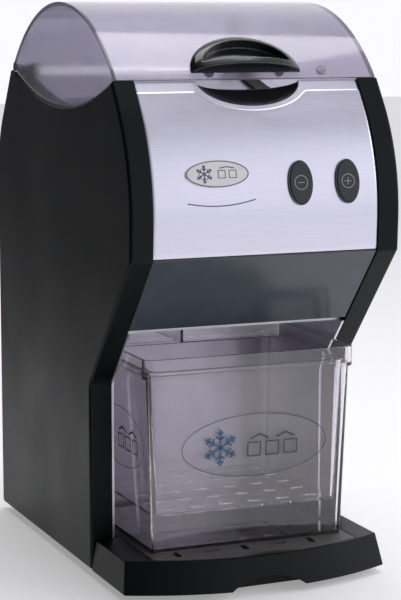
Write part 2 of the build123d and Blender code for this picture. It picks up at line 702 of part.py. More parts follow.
def breaker_discs():
    """Toothed discs that crush the ice, each turned a little from the last."""
    discs = []
    center = (CRUSHER_Y, CRUSHER_Z)
    for i, x in enumerate(disc_places()):
        points = []
        for tooth in range(DISC_TEETH):
            angle = 2 * pi * tooth / DISC_TEETH + radians(DISC_STAGGER) * i
            points.append(polar(center, DISC_ROOT, angle - TOOTH_BACK))
            points.append(polar(center, DISC_RADIUS, angle - TOOTH_TIP))
            points.append(polar(center, DISC_RADIUS - TOOTH_RELIEF, angle + TOOTH_TIP))
            points.append(polar(center, DISC_ROOT, angle + TOOTH_FACE))
        plate = slab(make_face(Polyline(*points, close=True)), x - DISC_WIDTH / 2, x + DISC_WIDTH / 2)
        discs.append(plate - disc(center, SHAFT_RADIUS, x - DISC_WIDTH, x + DISC_WIDTH))
    return Compound(children=discs)


def disc_spacers():
    """Sleeves between the discs."""
    sleeves = []
    width = DISC_PITCH - DISC_WIDTH
    for x in disc_places()[:-1]:
        start = (x + DISC_WIDTH / 2, CRUSHER_Y, CRUSHER_Z)
        sleeves.append(tube(start, (1, 0, 0), SPACER_RADIUS, SHAFT_RADIUS, width))
    return Compound(children=sleeves)


GEAR_START = HOUSING_HALF + GEARBOX_WALL + GEAR_GAP
FIRST_GEAR = (GEAR_START, GEAR_START + GEAR_WIDTH)
SECOND_GEAR = (FIRST_GEAR[1] + GEAR_GAP, FIRST_GEAR[1] + GEAR_GAP + GEAR_WIDTH)
GEARBOX_END = SECOND_GEAR[1] + GEAR_GAP + GEARBOX_WALL
SHAFT_STUB = 3.0  # crusher shaft beyond the housing's left wall


def crusher_shaft():
    start = (-HOUSING_HALF - SHAFT_STUB, CRUSHER_Y, CRUSHER_Z)
    return rod(start, (1, 0, 0), SHAFT_RADIUS, HOUSING_HALF + SHAFT_STUB + SECOND_GEAR[1])


def fixed_comb():
    """Bar with fingers that reach between the discs."""
    reach = CRUSHER_Y + CAVITY_REACH
    low = CRUSHER_Z - COMB_DROP - COMB_THICK
    bar = block((-CAVITY_HALF + SEAM, reach - COMB_BACK, low), (CAVITY_HALF - SEAM, reach, low + COMB_THICK))
    tip = CRUSHER_Y + sqrt((SPACER_RADIUS + COMB_TIP_GAP) ** 2 - COMB_DROP**2)
    for x in disc_places()[:-1]:
        middle = x + DISC_PITCH / 2
        bar = bar + block(
            (middle - COMB_WIDTH / 2, tip, low), (middle + COMB_WIDTH / 2, reach, low + COMB_THICK)
        )
    half = DISC_WIDTH / 2 + SWEEP_GAP
    for x in disc_places():
        bar = bar - disc((CRUSHER_Y, CRUSHER_Z), DISC_RADIUS + SWEEP_GAP, x - half, x + half)
    return bar


def discharge_chute():
    """Clear duct from the crusher down to just above the bin."""
    low = BIN_TOP + CHUTE_CLEAR
    front = CRUSHER_Y - CHUTE_REACH
    rear = CRUSHER_Y + CHUTE_REACH
    duct = block((-CHUTE_HALF, front, low), (CHUTE_HALF, rear, HOUSING_BOTTOM))
    half = CHUTE_HALF + CHUTE_FLANGE
    reach = CHUTE_REACH + CHUTE_FLANGE
    flange = block(
        (-half, CRUSHER_Y - reach, HOUSING_BOTTOM - CHUTE_WALL), (half, CRUSHER_Y + reach, HOUSING_BOTTOM)
    )
    inside = block(
        (-CHUTE_HALF + CHUTE_WALL, front + CHUTE_WALL, low - 1),
        (CHUTE_HALF - CHUTE_WALL, rear - CHUTE_WALL, HOUSING_BOTTOM + 1),
    )
    return duct + flange - inside


def support_posts():
    """Four posts that stand the crusher housing on the deck."""
    x = HOUSING_HALF - POST_RADIUS
    reach = CAVITY_REACH + HOUSING_WALL - POST_RADIUS - 0.5
    height = HOUSING_BOTTOM - CHUTE_WALL - DECK_TOP
    posts = []
    for side in (-1, 1):
        for way in (-1, 1):
            start = (side * x, CRUSHER_Y + way * reach, DECK_TOP)
            posts.append(rod(start, (0, 0, 1), POST_RADIUS, height + CHUTE_WALL))
    return Compound(children=posts)


# ---- gear train ----
def apex(start, end, near, far):
    """The lower point at distance near from start and far from end."""
    span = hypot(end[0] - start[0], end[1] - start[1])
    along = (near**2 - far**2 + span**2) / (2 * span)
    aside = sqrt(near**2 - along**2)
    way = unit(start, end)
    return start[0] + way[0] * along + way[1] * aside, start[1] + way[1] * along - way[0] * aside


FIRST_REACH = FIRST_MODULE * (PINION_TEETH + WHEEL_TEETH) / 2
SECOND_REACH = SECOND_MODULE * (IDLER_TEETH + OUTPUT_TEETH) / 2
CRUSHER_AXIS = (CRUSHER_Y, CRUSHER_Z)
MOTOR_AXIS = (MOTOR_Y, MOTOR_Z)
IDLER_AXIS = apex(CRUSHER_AXIS, MOTOR_AXIS, SECOND_REACH, FIRST_REACH)


def gear_face(center, teeth, module, phase):
    """Involute gear outline with a tooth centred on the angle phase."""
    pitch = teeth * module / 2
    base = pitch * cos(PRESSURE)
    tip = pitch + ADDENDUM * module
    root = pitch - DEDENDUM * module
    half = (pi * module / 2 - BACKLASH) / 2 / pitch + tan(PRESSURE) - PRESSURE
    steps = 5
    flank = []
    for i in range(steps + 1):
        radius = max(base, root) + (tip - max(base, root)) * i / steps
        roll = acos(min(base / radius, 1.0))
        flank.append((radius, half - tan(roll) + roll))
    points = []
    for tooth in range(teeth):
        middle = phase + 2 * pi * tooth / teeth
        points.append(polar(center, root, middle - half))
        points.extend(polar(center, radius, middle - angle) for radius, angle in flank)
        points.extend(polar(center, radius, middle + angle) for radius, angle in reversed(flank))
        points.append(polar(center, root, middle + half))
    return make_face(Polyline(*points, close=True))


def angle_from(start, end):
    return atan2(end[1] - start[1], end[0] - start[0])


def motor_pinion():
    phase = angle_from(MOTOR_AXIS, IDLER_AXIS)
    gear = slab(gear_face(MOTOR_AXIS, PINION_TEETH, FIRST_MODULE, phase), *FIRST_GEAR)
    return gear - disc(MOTOR_AXIS, MOTOR_SHAFT, FIRST_GEAR[0] - 1, FIRST_GEAR[1] + 1)


def idler_gear():
    """Large wheel driven by the motor, with a small gear on its outer face."""
    wheel_phase = angle_from(IDLER_AXIS, MOTOR_AXIS) + pi / WHEEL_TEETH
    wheel = slab(gear_face(IDLER_AXIS, WHEEL_TEETH, FIRST_MODULE, wheel_phase), *FIRST_GEAR)
    small_face = gear_face(IDLER_AXIS, IDLER_TEETH, SECOND_MODULE, angle_from(IDLER_AXIS, CRUSHER_AXIS))
    small = slab(small_face, FIRST_GEAR[1], SECOND_GEAR[1])
    return wheel + small - disc(IDLER_AXIS, IDLER_RADIUS, FIRST_GEAR[0] - 1, SECOND_GEAR[1] + 1)


def output_gear():
    phase = angle_from(CRUSHER_AXIS, IDLER_AXIS) + pi / OUTPUT_TEETH
    gear = slab(gear_face(CRUSHER_AXIS, OUTPUT_TEETH, SECOND_MODULE, phase), *SECOND_GEAR)
    return gear - disc(CRUSHER_AXIS, SHAFT_RADIUS, SECOND_GEAR[0] - 1, SECOND_GEAR[1] + 1)


def idler_shaft():
    low = HOUSING_HALF + SEAM
    return disc(IDLER_AXIS, IDLER_RADIUS, low, GEARBOX_END - SEAM)


def gearbox_face(grow):
    """Side view of the gearbox: the three gears' discs and the space between."""
    discs = [
        (CRUSHER_AXIS, SECOND_MODULE * (OUTPUT_TEETH / 2 + 1)),
        (IDLER_AXIS, FIRST_MODULE * (WHEEL_TEETH / 2 + 1)),
        (MOTOR_AXIS, FIRST_MODULE * (PINION_TEETH / 2 + 1) + PINION_SPACE),
    ]
    face = Sketch()
    for center, radius in discs:
        face = face + Pos(*center) * Circle(radius + SWEEP_GAP + grow)
    return face


OUTPUT_LUGS = SECOND_MODULE * (OUTPUT_TEETH / 2 + 1) + SWEEP_GAP + GEARBOX_LUG
IDLER_LUGS = FIRST_MODULE * (WHEEL_TEETH / 2 + 1) + SWEEP_GAP + GEARBOX_LUG
GEARBOX_SCREWS = [
    (GEARBOX_END, *polar(CRUSHER_AXIS, OUTPUT_LUGS, radians(angle))) for angle in OUTPUT_LUG_ANGLES
] + [(GEARBOX_END, *polar(IDLER_AXIS, IDLER_LUGS, radians(angle))) for angle in IDLER_LUG_ANGLES]


def gearbox_ears(low, high):
    """Round lugs for the gearbox's screws."""
    ears = Part()
    for _, y, z in GEARBOX_SCREWS:
        ears = ears + disc((y, z), GEARBOX_LUG, low, high)
    return ears


def gearbox_plate():
    """Inner wall of the gearbox, bolted to the crusher housing's end."""
    low = HOUSING_HALF
    high = low + GEARBOX_WALL
    plate = slab(gearbox_face(GEARBOX_WALL), low, high) + gearbox_ears(low, high)
    plate = plate - disc(CRUSHER_AXIS, SHAFT_RADIUS + SWEEP_GAP, low - 1, high + 1)
    plate = plate - disc(MOTOR_AXIS, MOTOR_SHAFT + SWEEP_GAP, low - 1, high + 1)
    plate = plate - disc(IDLER_AXIS, IDLER_RADIUS + RUN_GAP, low - 1, high + 1)
    return drill(plate, [(low, y, z) for _, y, z in GEARBOX_SCREWS], (-1, 0, 0), 10)


def gearbox_cover():
    """Dished outer half of the gearbox."""
    low = HOUSING_HALF + GEARBOX_WALL
    cover = slab(gearbox_face(GEARBOX_WALL), low, GEARBOX_END) + gearbox_ears(low, GEARBOX_END)
    cover = cover - slab(gearbox_face(0), low - 1, GEARBOX_END - GEARBOX_WALL)
    cover = cover - disc(IDLER_AXIS, IDLER_RADIUS + RUN_GAP, low, GEARBOX_END + 1)
    return drill(cover, GEARBOX_SCREWS, (-1, 0, 0), 40)


def gearbox_screws():
    length = GEARBOX_END - HOUSING_HALF
    return Compound(children=[screw(start, (-1, 0, 0), length) for start in GEARBOX_SCREWS])


# ---- motor ----
MOTOR_END = HOUSING_HALF - MOTOR_SET_BACK
MOTOR_START = MOTOR_END - MOTOR_LENGTH
FAN_START = MOTOR_START - BELL_LENGTH + MOTOR_WALL + FAN_GAP


def motor_housing():
    """Finned can with the drive-end wall and the wound stator inside."""
    can = disc(MOTOR_AXIS, MOTOR_RADIUS, MOTOR_START, MOTOR_END)
    start = MOTOR_START + GROOVE_MARGIN
    end = MOTOR_END - GROOVE_MARGIN
    for i in range(MOTOR_GROOVES):
        center = polar(MOTOR_AXIS, MOTOR_RADIUS, (2 * i + 1) * pi / MOTOR_GROOVES)
        can = can - disc(center, GROOVE_RADIUS, start, end)
    can = can - disc(MOTOR_AXIS, STATOR_RADIUS, MOTOR_START + STATOR_START, MOTOR_END - STATOR_END)
    can = can - disc(MOTOR_AXIS, MOTOR_RADIUS - MOTOR_WALL, MOTOR_START - 1, MOTOR_START + STATOR_START)
    return can - disc(MOTOR_AXIS, MOTOR_SHAFT + RUN_GAP, MOTOR_START, MOTOR_END + 1)


def motor_bell():
    """Open-backed end bell over the cooling fan."""
    low = MOTOR_START - BELL_LENGTH
    bell = disc(MOTOR_AXIS, MOTOR_RADIUS, low, MOTOR_START)
    bell = bell - disc(MOTOR_AXIS, MOTOR_RADIUS - MOTOR_WALL, low + MOTOR_WALL, MOTOR_START + 1)
    for i in range(BELL_HOLES):
        center = polar(MOTOR_AXIS, BELL_HOLE_CIRCLE, 2 * pi * i / BELL_HOLES)
        bell = bell - disc(center, BELL_HOLE_RADIUS, low - 1, low + MOTOR_WALL + 1)
    return bell - disc(MOTOR_AXIS, MOTOR_SHAFT + RUN_GAP, low - 1, MOTOR_START)


def motor_shaft():
    low = MOTOR_START - BELL_LENGTH
    return disc(MOTOR_AXIS, MOTOR_SHAFT, low, FIRST_GEAR[1])


def motor_armature():
    middle = (MOTOR_START + STATOR_START + MOTOR_END - STATOR_END) / 2
    low = middle - ARMATURE_LENGTH / 2
    core = disc(MOTOR_AXIS, ARMATURE_RADIUS, low, low + ARMATURE_LENGTH)
    return core - disc(MOTOR_AXIS, MOTOR_SHAFT, low - 1, low + ARMATURE_LENGTH + 1)


def motor_fan():
    """Moulded cooling fan on the tail of the motor shaft."""
    end = FAN_START + FAN_WIDTH
    fan = disc(MOTOR_AXIS, MOTOR_SHAFT + FAN_HUB, FAN_START, end)
    fan = fan + disc(MOTOR_AXIS, FAN_RADIUS, end - FAN_WEB, end)
    blade = block((0, MOTOR_SHAFT + FAN_HUB / 2, -BLADE_THICK / 2), (FAN_WIDTH, FAN_RADIUS, BLADE_THICK / 2))
    for i in range(FAN_BLADES):
        fan = fan + Pos(FAN_START, *MOTOR_AXIS) * Rot(360 * i / FAN_BLADES, 0, 0) * blade
    return fan - disc(MOTOR_AXIS, MOTOR_SHAFT, FAN_START - 1, end + 1)


def motor_saddle():
    """Two upright plates that cradle the motor on the deck."""
    plates = []
    half = MOTOR_RADIUS * 0.8
    for x in (MOTOR_START + SADDLE_FOOT, MOTOR_END - SADDLE_FOOT - SADDLE_THICK):
        high = x + SADDLE_THICK
        plate = block((x, MOTOR_Y - half, DECK_TOP), (high, MOTOR_Y + half, MOTOR_Z - SADDLE_BELOW_AXIS))
        foot_top = DECK_TOP + SADDLE_FOOT_THICK
        foot = block((high - SADDLE_FOOT, MOTOR_Y - half, DECK_TOP), (high, MOTOR_Y + half, foot_top))
        plates.append(plate + foot - disc(MOTOR_AXIS, MOTOR_RADIUS, high - SADDLE_FOOT - 1, high + 1))
    return Compound(children=plates)


# ---- electrics ----
ELECTRIC_Y = (BAY_REAR + REAR_Y) / 2
EAR_TOP = BASE_TOP + CLIP_SHEET
BOARD_LOW = BASE_TOP + BOARD_RISE
# Each component on the board: left, right, bottom, top and how far it stands out.
COMPONENTS = [
    (-34.0, -6.0, 10.0, 36.0, 19.4),
    (4.0, 22.0, 12.0, 30.0, 15.4),
    (-30.0, 20.0, 52.0, 64.0, 3.4),
]


def run_capacitor():
    start = (-FILL_X / 2, ELECTRIC_Y, BASE_TOP)
    can = rod(start, (0, 0, 1), CAPACITOR_RADIUS, CAPACITOR_HEIGHT)
    top = BASE_TOP + CAPACITOR_HEIGHT
    tab = Box(TAB_WIDTH, TAB_THICK, TAB_HEIGHT, align=(Align.CENTER, Align.CENTER, Align.MIN))
    for side in (-1, 1):
        can = can + Pos(start[0] + side * TAB_WIDTH, ELECTRIC_Y, top) * tab
    return can


def capacitor_clip():
    """Sheet band that holds the capacitor to the base."""
    start = (-FILL_X / 2, ELECTRIC_Y, BASE_TOP)
    band_radius = CAPACITOR_RADIUS + CLIP_SHEET
    loop = tube(start, (0, 0, 1), band_radius, CAPACITOR_RADIUS + TINY, CLIP_HEIGHT)
    near = start[0] + CAPACITOR_RADIUS + CLIP_SHEET / 2
    half = CLIP_EAR / 2
    return loop + block((near, ELECTRIC_Y - half, BASE_TOP), (near + CLIP_EAR, ELECTRIC_Y + half, EAR_TOP))


def control_board():
    """Circuit board with its relay, transformer and stand-offs."""
    wall = BAY_REAR + COVER_WALL
    near = wall + STANDOFF
    face = near + BOARD_THICK
    half = BOARD_SIZE / 2
    board = block((-half, near, BOARD_LOW), (half, face, BOARD_LOW + BOARD_SIZE))
    for left, right, bottom, top, proud in COMPONENTS:
        board = board + block((left, face, BOARD_LOW + bottom), (right, face + proud, BOARD_LOW + top))
    for x in (-half + STANDOFF, half - STANDOFF):
        for z in (BOARD_LOW + STANDOFF, BOARD_LOW + BOARD_SIZE - STANDOFF):
            board = board + rod((x, wall, z), (0, 1, 0), STANDOFF / 2, STANDOFF)
    return board


def terminal_block():
    near = ELECTRIC_Y + TERMINAL_BEHIND
    low = GLAND_X - TERMINAL_WAYS * TERMINAL_PITCH + TERMINAL_PITCH
    high = low + TERMINAL_WAYS * TERMINAL_PITCH
    body = block((low, near, BASE_TOP), (high, near + TERMINAL_DEPTH, BASE_TOP + TERMINAL_HEIGHT))
    for i in range(TERMINAL_WAYS):
        start = (low + (i + 0.5) * TERMINAL_PITCH, near + TERMINAL_DEPTH / 2, BASE_TOP + TERMINAL_HEIGHT / 2)
        body = body - rod(start, (0, 0, 1), TERMINAL_WELL, TERMINAL_HEIGHT)
    return body


def cable_gland():
    """Moulded bush for the mains lead, in the rear cover."""
    flange = rod((GLAND_X, REAR_Y - SEAM, GLAND_Z), (0, 1, 0), GLAND_RADIUS, SEAM)
    body = rod((GLAND_X, REAR_Y, GLAND_Z), (0, -1, 0), GLAND_NECK - TINY, GLAND_LENGTH)
    nut_start = REAR_Y - SEAM - COVER_WALL
    nut = rod((GLAND_X, nut_start, GLAND_Z), (0, -1, 0), GLAND_RADIUS, GLAND_NUT)
    solid = flange + body + nut
    return solid - rod((GLAND_X, REAR_Y + 1, GLAND_Z), (0, -1, 0), GLAND_BORE, GLAND_LENGTH + 2)


# ---- panel controls ----
def button(plane):
    """Oval push button that travels square to the panel."""
    low = BUTTON_TRAVEL + TINY + SWITCH_HEIGHT - SWITCH_DEPTH
    cap = on_plane(plane, Ellipse(BUTTON_HALF_WIDTH, BUTTON_HALF_HEIGHT), low + STEM_LENGTH, BUTTON_PROUD)
    return cap + on_plane(plane, Circle(STEM_RADIUS), low, low + STEM_LENGTH)


def button_bezels():
    """Oval rims in the panel, with sleeves that guide the buttons."""
    rims = []
    inner = Ellipse(BUTTON_HALF_WIDTH + BUTTON_GAP, BUTTON_HALF_HEIGHT + BUTTON_GAP)
    sleeve = Ellipse(BUTTON_HALF_WIDTH + BEZEL_WIDTH, BUTTON_HALF_HEIGHT + BEZEL_WIDTH)
    lip = BEZEL_WIDTH + BEZEL_LIP
    flange = Ellipse(BUTTON_HALF_WIDTH + lip, BUTTON_HALF_HEIGHT + lip)
    for plane in (MINUS_PLANE, PLUS_PLANE):
        rim = on_plane(plane, sleeve, -SWITCH_DEPTH, BEZEL_PROUD) + on_plane(plane, flange, 0, BEZEL_PROUD)
        rims.append(rim - on_plane(plane, inner, -SWITCH_DEPTH - 1, BEZEL_PROUD + 1))
    return Compound(children=rims)


def button_board():
    """Small circuit board with a switch behind each button."""
    middle = panel_plane(INNER_X - BUTTON_FROM_SIDE - BUTTON_PITCH / 2, TIP_Z - BUTTON_DROP)
    width = BUTTON_PITCH + 2 * (BUTTON_HALF_WIDTH + BEZEL_WIDTH)
    height = 2 * (BUTTON_HALF_HEIGHT + BEZEL_WIDTH)
    board = on_plane(middle, Rectangle(width, height), -SWITCH_DEPTH - BOARD_THICK, -SWITCH_DEPTH)
    switch = Rectangle(SWITCH_SIZE, SWITCH_SIZE)
    for plane in (MINUS_PLANE, PLUS_PLANE):
        board = board + on_plane(plane, switch, -SWITCH_DEPTH, -SWITCH_DEPTH + SWITCH_HEIGHT)
    return board


def badge_plate():
    """Plain oval plate on the panel."""
    return on_plane(BADGE_PLANE, Ellipse(BADGE_HALF_WIDTH, BADGE_HALF_HEIGHT), 0, BADGE_THICK)


def lid_sensor():
    """Magnetic sensor under the panel's top edge; it stops the motor when the lid is up."""
    back = RECESS_PLANE.offset(-PANEL_INSET - PANEL_SHEET)
    return extrude(back * Pos(SENSOR_X, -SENSOR_DROP) * Rectangle(SENSOR_LENGTH, SENSOR_WIDTH), -SENSOR_THICK)


# ---- lid ----
def lid_shell():
    """Clear crown with a lens-shaped wall at each end and a hinge knuckle behind."""
    crown = ThreePointArc(LID_REAR, LID_CROWN, LID_FRONT)
    hem = ThreePointArc(LID_FRONT, LID_DIP_POINT, LID_REAR)
    shell = slab(make_face(crown + hem), -LID_X, LID_X)
    shell = shell - disc(CROWN_CENTER, CROWN_RADIUS - LID_WALL, -LID_X + LID_WALL, LID_X - LID_WALL)
    axis = (HINGE_Y, HINGE_Z)
    low = INNER_X + KNUCKLE_GAP
    gap_low = low - BRACKET_WIDTH - 5 * KNUCKLE_GAP
    for side in (-1, 1):
        span = sorted((side * gap_low, side * low))
        shell = shell - disc(axis, NOTCH_RADIUS, *span)
        span = sorted((side * low, side * LID_X))
        shell = shell + disc(axis, KNUCKLE_RADIUS, *span)
        span = sorted((side * (low - 1), side * (LID_X - LID_WALL)))
        shell = shell - disc(axis, PIN_RADIUS, *span)
    return drill(shell, HANDLE_SCREWS, HANDLE_OUT, 4 * LID_WALL)


SEAT_ANGLE = angle_from(CROWN_CENTER, (HANDLE_Y, HANDLE_Z)) - HANDLE_SCREW_RISE / CROWN_RADIUS
HANDLE_SEAT = polar(CROWN_CENTER, CROWN_RADIUS - LID_WALL, SEAT_ANGLE)
HANDLE_OUT = (0, *unit(CROWN_CENTER, HANDLE_SEAT))
HANDLE_SCREWS = [(x, *HANDLE_SEAT) for x in (-HANDLE_SCREW_X, HANDLE_SCREW_X)]


def lid_handle():
    """Half-domed black grip on the lid's front, scooped out above a straight bar."""
    dome = egg(HANDLE_PLANE, HANDLE_HALF, HANDLE_REACH, HANDLE_BULGE)
    above = on_plane(HANDLE_PLANE, Pos(0, HANDLE_HALF + TINY) * Rectangle(3 * HANDLE_HALF, 2 * HANDLE_HALF), -40, 40)
    dome = (dome & above) - disc(CROWN_CENTER, CROWN_RADIUS, -OUTER_X, OUTER_X)
    hollow = Ellipse(HANDLE_HALF - HANDLE_RIM, HANDLE_REACH - HANDLE_RIM)
    hollow = hollow & (Pos(0, HANDLE_LEDGE + HANDLE_HALF) * Rectangle(3 * HANDLE_HALF, 2 * HANDLE_HALF))
    scoop = on_plane(HANDLE_PLANE, hollow, -HANDLE_BULGE, 2 * HANDLE_BULGE)
    scoop = scoop - disc(CROWN_CENTER, CROWN_RADIUS + HANDLE_FLOOR, -OUTER_X, OUTER_X)
    return drill(dome - scoop, HANDLE_SCREWS, HANDLE_OUT, HANDLE_SCREW_LENGTH)


def handle_screws():
    """Two screws through the lid into the grip."""
    starts = [[a - b * TINY for a, b in zip(start, HANDLE_OUT)] for start in HANDLE_SCREWS]
    return Compound(children=[screw(start, HANDLE_OUT, HANDLE_SCREW_LENGTH) for start in starts])


def lid_magnet():
    """Magnet inside the lid's front edge that the sensor feels."""
    angle = angle_from(CROWN_CENTER, LID_FRONT) - MAGNET_UP / CROWN_RADIUS
    y, z = polar(CROWN_CENTER, CROWN_RADIUS - LID_WALL - TINY, angle)
    way = unit((y, z), CROWN_CENTER)
    return rod((SENSOR_X, y, z), (0, *way), MAGNET_RADIUS, MAGNET_THICK)


def hinge_pins():
    start = (INNER_X - BRACKET_WIDTH - 3 * KNUCKLE_GAP, HINGE_Y, HINGE_Z)
    return both_sides(rod(start, (1, 0, 0), PIN_RADIUS, LID_X - LID_WALL - start[0]))


def hinge_brackets():
    """Ears behind the deck that carry the hinge pins."""
    high = INNER_X - KNUCKLE_GAP
    low = high - BRACKET_WIDTH
    run = [(REAR_BEND[0] - SEAM, REAR_BEND[1]), REAR_TIP]
    arm = slab(strip(run, None, COVER_WALL + SEAM, COVER_WALL + ARM_WIDTH), low, high)
    arm = arm & block((0, 0, HINGE_Z - ARM_LENGTH), (OUTER_X, REAR_Y, HINGE_Z))
    ear = arm + disc((HINGE_Y, HINGE_Z), BRACKET_RADIUS, low, high)
    ear = ear - disc((HINGE_Y, HINGE_Z), PIN_RADIUS + RUN_GAP, low - 1, high + 1)
    return both_sides(ear)


# ---- tray, grid, bin and basket ----
def bowed(half, rear, corner, nose):
    """Plan outline with straight sides and a bowed front edge."""
    lines = Polyline((-half, corner), (-half, rear), (half, rear), (half, corner))
    return make_face(lines + ThreePointArc((half, corner), (0, nose), (-half, corner)))


WING_REAR = KNEE[0] - TRAY_SHOULDER
NOSE_TOP = FRONT_Y + TRAY_FRONT_DRAFT
CORNER_TOP = NOSE_TOP + TRAY_BULGE
WING_TOP = OUTER_X - TRAY_DRAFT
NOSE_CENTER, NOSE_RADIUS = circle_through((-WING_TOP, CORNER_TOP), (0, NOSE_TOP), (WING_TOP, CORNER_TOP))
SILL_REAR = BAY_REAR - BAY_BACK_GAP / 2
GRID_REAR = SILL_REAR - TRAY_WALL


def grid_outline(grow):
    """Plan of the grid, following the tray's bow, with a finger notch in front."""
    radius = NOSE_RADIUS - GRID_RIM + grow
    half = GRID_HALF + grow
    corner = NOSE_CENTER[1] - sqrt(radius**2 - half**2)
    return bowed(half, GRID_REAR + grow, corner, NOSE_CENTER[1] - radius)


def drip_tray():
    """Drawer under the bin: wide wings in front, a narrower sill between the casings."""
    low = Pos(0, 0, BASE_Z) * bowed(OUTER_X, WING_REAR, FRONT_Y + TRAY_BULGE, FRONT_Y)
    high = Pos(0, 0, TRAY_TOP) * bowed(WING_TOP, WING_REAR, CORNER_TOP, NOSE_TOP)
    tray = loft([low, high])
    tray = tray + block((-SILL_X, WING_REAR - 10, BASE_TOP + SLIDE_GAP), (SILL_X, SILL_REAR, TRAY_TOP))
    tray = tray - extrude(Pos(0, 0, TRAY_TOP - GRID_SHEET) * grid_outline(SEAM), GRID_SHEET + 1)
    basin_half = GRID_HALF - GRID_LEDGE
    basin_front = FRONT_Y + ARCH_REACH + TRAY_NOSE_WALL
    basin = block(
        (-basin_half, basin_front, BASE_TOP + SLIDE_GAP + TRAY_FLOOR),
        (basin_half, GRID_REAR - GRID_LEDGE, TRAY_TOP),
    )
    radius = (ARCH_HALF**2 + ARCH_HEIGHT**2) / (2 * ARCH_HEIGHT)
    arch = rod((0, FRONT_Y - 1, BASE_Z + ARCH_HEIGHT - radius), (0, 1, 0), radius, ARCH_REACH + 1)
    return tray - basin - arch


def drip_grid():
    """Perforated plate that the bin stands on."""
    plate = extrude(Pos(0, 0, TRAY_TOP - GRID_SHEET) * grid_outline(0), GRID_SHEET)
    nose = NOSE_CENTER[1] - NOSE_RADIUS + GRID_RIM
    radius = (NOTCH_HALF**2 + NOTCH_DEPTH**2) / (2 * NOTCH_DEPTH)
    plate = plate - rod((0, nose + NOTCH_DEPTH - radius, 0), (0, 0, 1), radius, TRAY_TOP + 1)
    pitch_y = GRID_SLOT_LENGTH * 1.3
    first = nose + 2 * NOTCH_DEPTH + GRID_SLOT_LENGTH / 2
    rows = int((GRID_REAR - GRID_LEDGE - GRID_SLOT_LENGTH - first) / pitch_y) + 1
    pitch_x = 2 * (GRID_HALF - GRID_SLOT_LENGTH) / GRID_COLUMNS
    for row in range(rows):
        for column in range(GRID_COLUMNS):
            shift = pitch_x / 4 if row % 2 else -pitch_x / 4
            x = (column - (GRID_COLUMNS - 1) / 2) * pitch_x + shift
            turn = Rot(0, 0, 90 * ((column + row + 1) % 2))
            slot = Pos(x, first + row * pitch_y, 0) * turn * SlotOverall(GRID_SLOT_LENGTH, GRID_SLOT_WIDTH)
            plate = plate - extrude(slot, TRAY_TOP + 1)
    return plate


BIN_MIDDLE = (BIN_FRONT + BIN_REAR) / 2
RIM_Z = BIN_TOP - BIN_RIM_HEIGHT
LEDGE_Z = RIM_Z + BIN_WALL


def ring_face(z, inset, corner):
    """A level rectangle with rounded corners, inset from the bin's rim."""
    radius = max(corner - inset, TIGHT_CORNER)
    return Pos(0, BIN_MIDDLE, z) * RectangleRounded(2 * (BIN_HALF - inset), BIN_DEPTH - 2 * inset, radius)


def tub(low_z, high_z, low_inset, high_inset, corner):
    """A tapered block with rounded corners."""
    return loft([ring_face(low_z, low_inset, corner), ring_face(high_z, high_inset, corner)])


def band(low_z, high_z, inset, corner):
    """A straight-sided block with rounded corners."""
    return extrude(ring_face(low_z, inset, corner), high_z - low_z)


def ice_bin():
    """Clear bin with a stepped rim."""
    solid = tub(BIN_Z, RIM_Z, BIN_STEP + BIN_TAPER, BIN_STEP, BIN_CORNER)
    solid = solid + band(RIM_Z, BIN_TOP, 0, BIN_CORNER)
    wall = BIN_STEP + BIN_WALL
    inside = tub(BIN_Z + BIN_WALL, LEDGE_Z, wall + BIN_TAPER, wall, BIN_CORNER)
    return solid - inside - band(LEDGE_Z, BIN_TOP + 1, BIN_WALL, BIN_CORNER)


BASKET_LOW = BIN_Z + BASKET_FLOOR_RISE
BASKET_SEAT = LEDGE_Z + SLIDE_GAP
BASKET_TOP = BASKET_SEAT + BASKET_RIM
BASKET_INSET = BIN_STEP + BIN_WALL + BASKET_GAP


def drainer_basket():
    """Clear basket that hangs in the bin by its rim and lets melt water through."""
    solid = tub(BASKET_LOW, BASKET_SEAT, BASKET_INSET + BASKET_TAPER, BASKET_INSET, BASKET_CORNER)
    solid = solid + band(BASKET_SEAT, BASKET_TOP, BIN_WALL + BASKET_LIP_GAP, BASKET_CORNER)
    wall = BASKET_INSET + BASKET_WALL
    inside = tub(BASKET_LOW + BASKET_WALL, BASKET_SEAT, wall + BASKET_TAPER, wall, BASKET_CORNER)
    solid = solid - inside - band(BASKET_SEAT, BASKET_TOP + 1, wall, BASKET_CORNER)
    reach_x = BIN_HALF - wall - BASKET_TAPER - BASKET_SLOT_MARGIN
    reach_y = BIN_DEPTH / 2 - wall - BASKET_TAPER - BASKET_SLOT_MARGIN
    for row in range(BASKET_SLOT_ROWS):
        for column in range(BASKET_SLOT_COLUMNS):
            x = reach_x * (2 * column / (BASKET_SLOT_COLUMNS - 1) - 1)
            y = BIN_MIDDLE + reach_y * (2 * row / (BASKET_SLOT_ROWS - 1) - 1)
            slot = Pos(x, y, BASKET_LOW - 1) * SlotOverall(BASKET_SLOT_LENGTH, BASKET_SLOT_WIDTH)
            solid = solid - extrude(slot, BASKET_WALL + 2)
    return solid


# ---- feet and loose fasteners ----
def feet():
    """Rubber feet, hollowed for their screws."""
    group = []
    for x, y in FEET:
        foot = rod((x, y, 0), (0, 0, 1), FOOT_RADIUS, FOOT_HEIGHT)
        foot = foot - rod((x, y, 0), (0, 0, 1), SCREW_HEAD + FOOT_SCREW_GAP, FOOT_HEIGHT / 2)
        group.append(foot - rod((x, y, 0), (0, 0, 1), SCREW_RADIUS, FOOT_HEIGHT))
    return Compound(children=group)


def foot_screws():
    length = FOOT_HEIGHT / 2 + BASE_SHEET
    return Compound(children=[screw((x, y, FOOT_HEIGHT / 2), (0, 0, 1), length) for x, y in FEET])


def rear_screws():
    return Compound(children=[screw(start, (0, -1, 0), COVER_WALL + RAIL_THICK) for start in REAR_SCREWS])


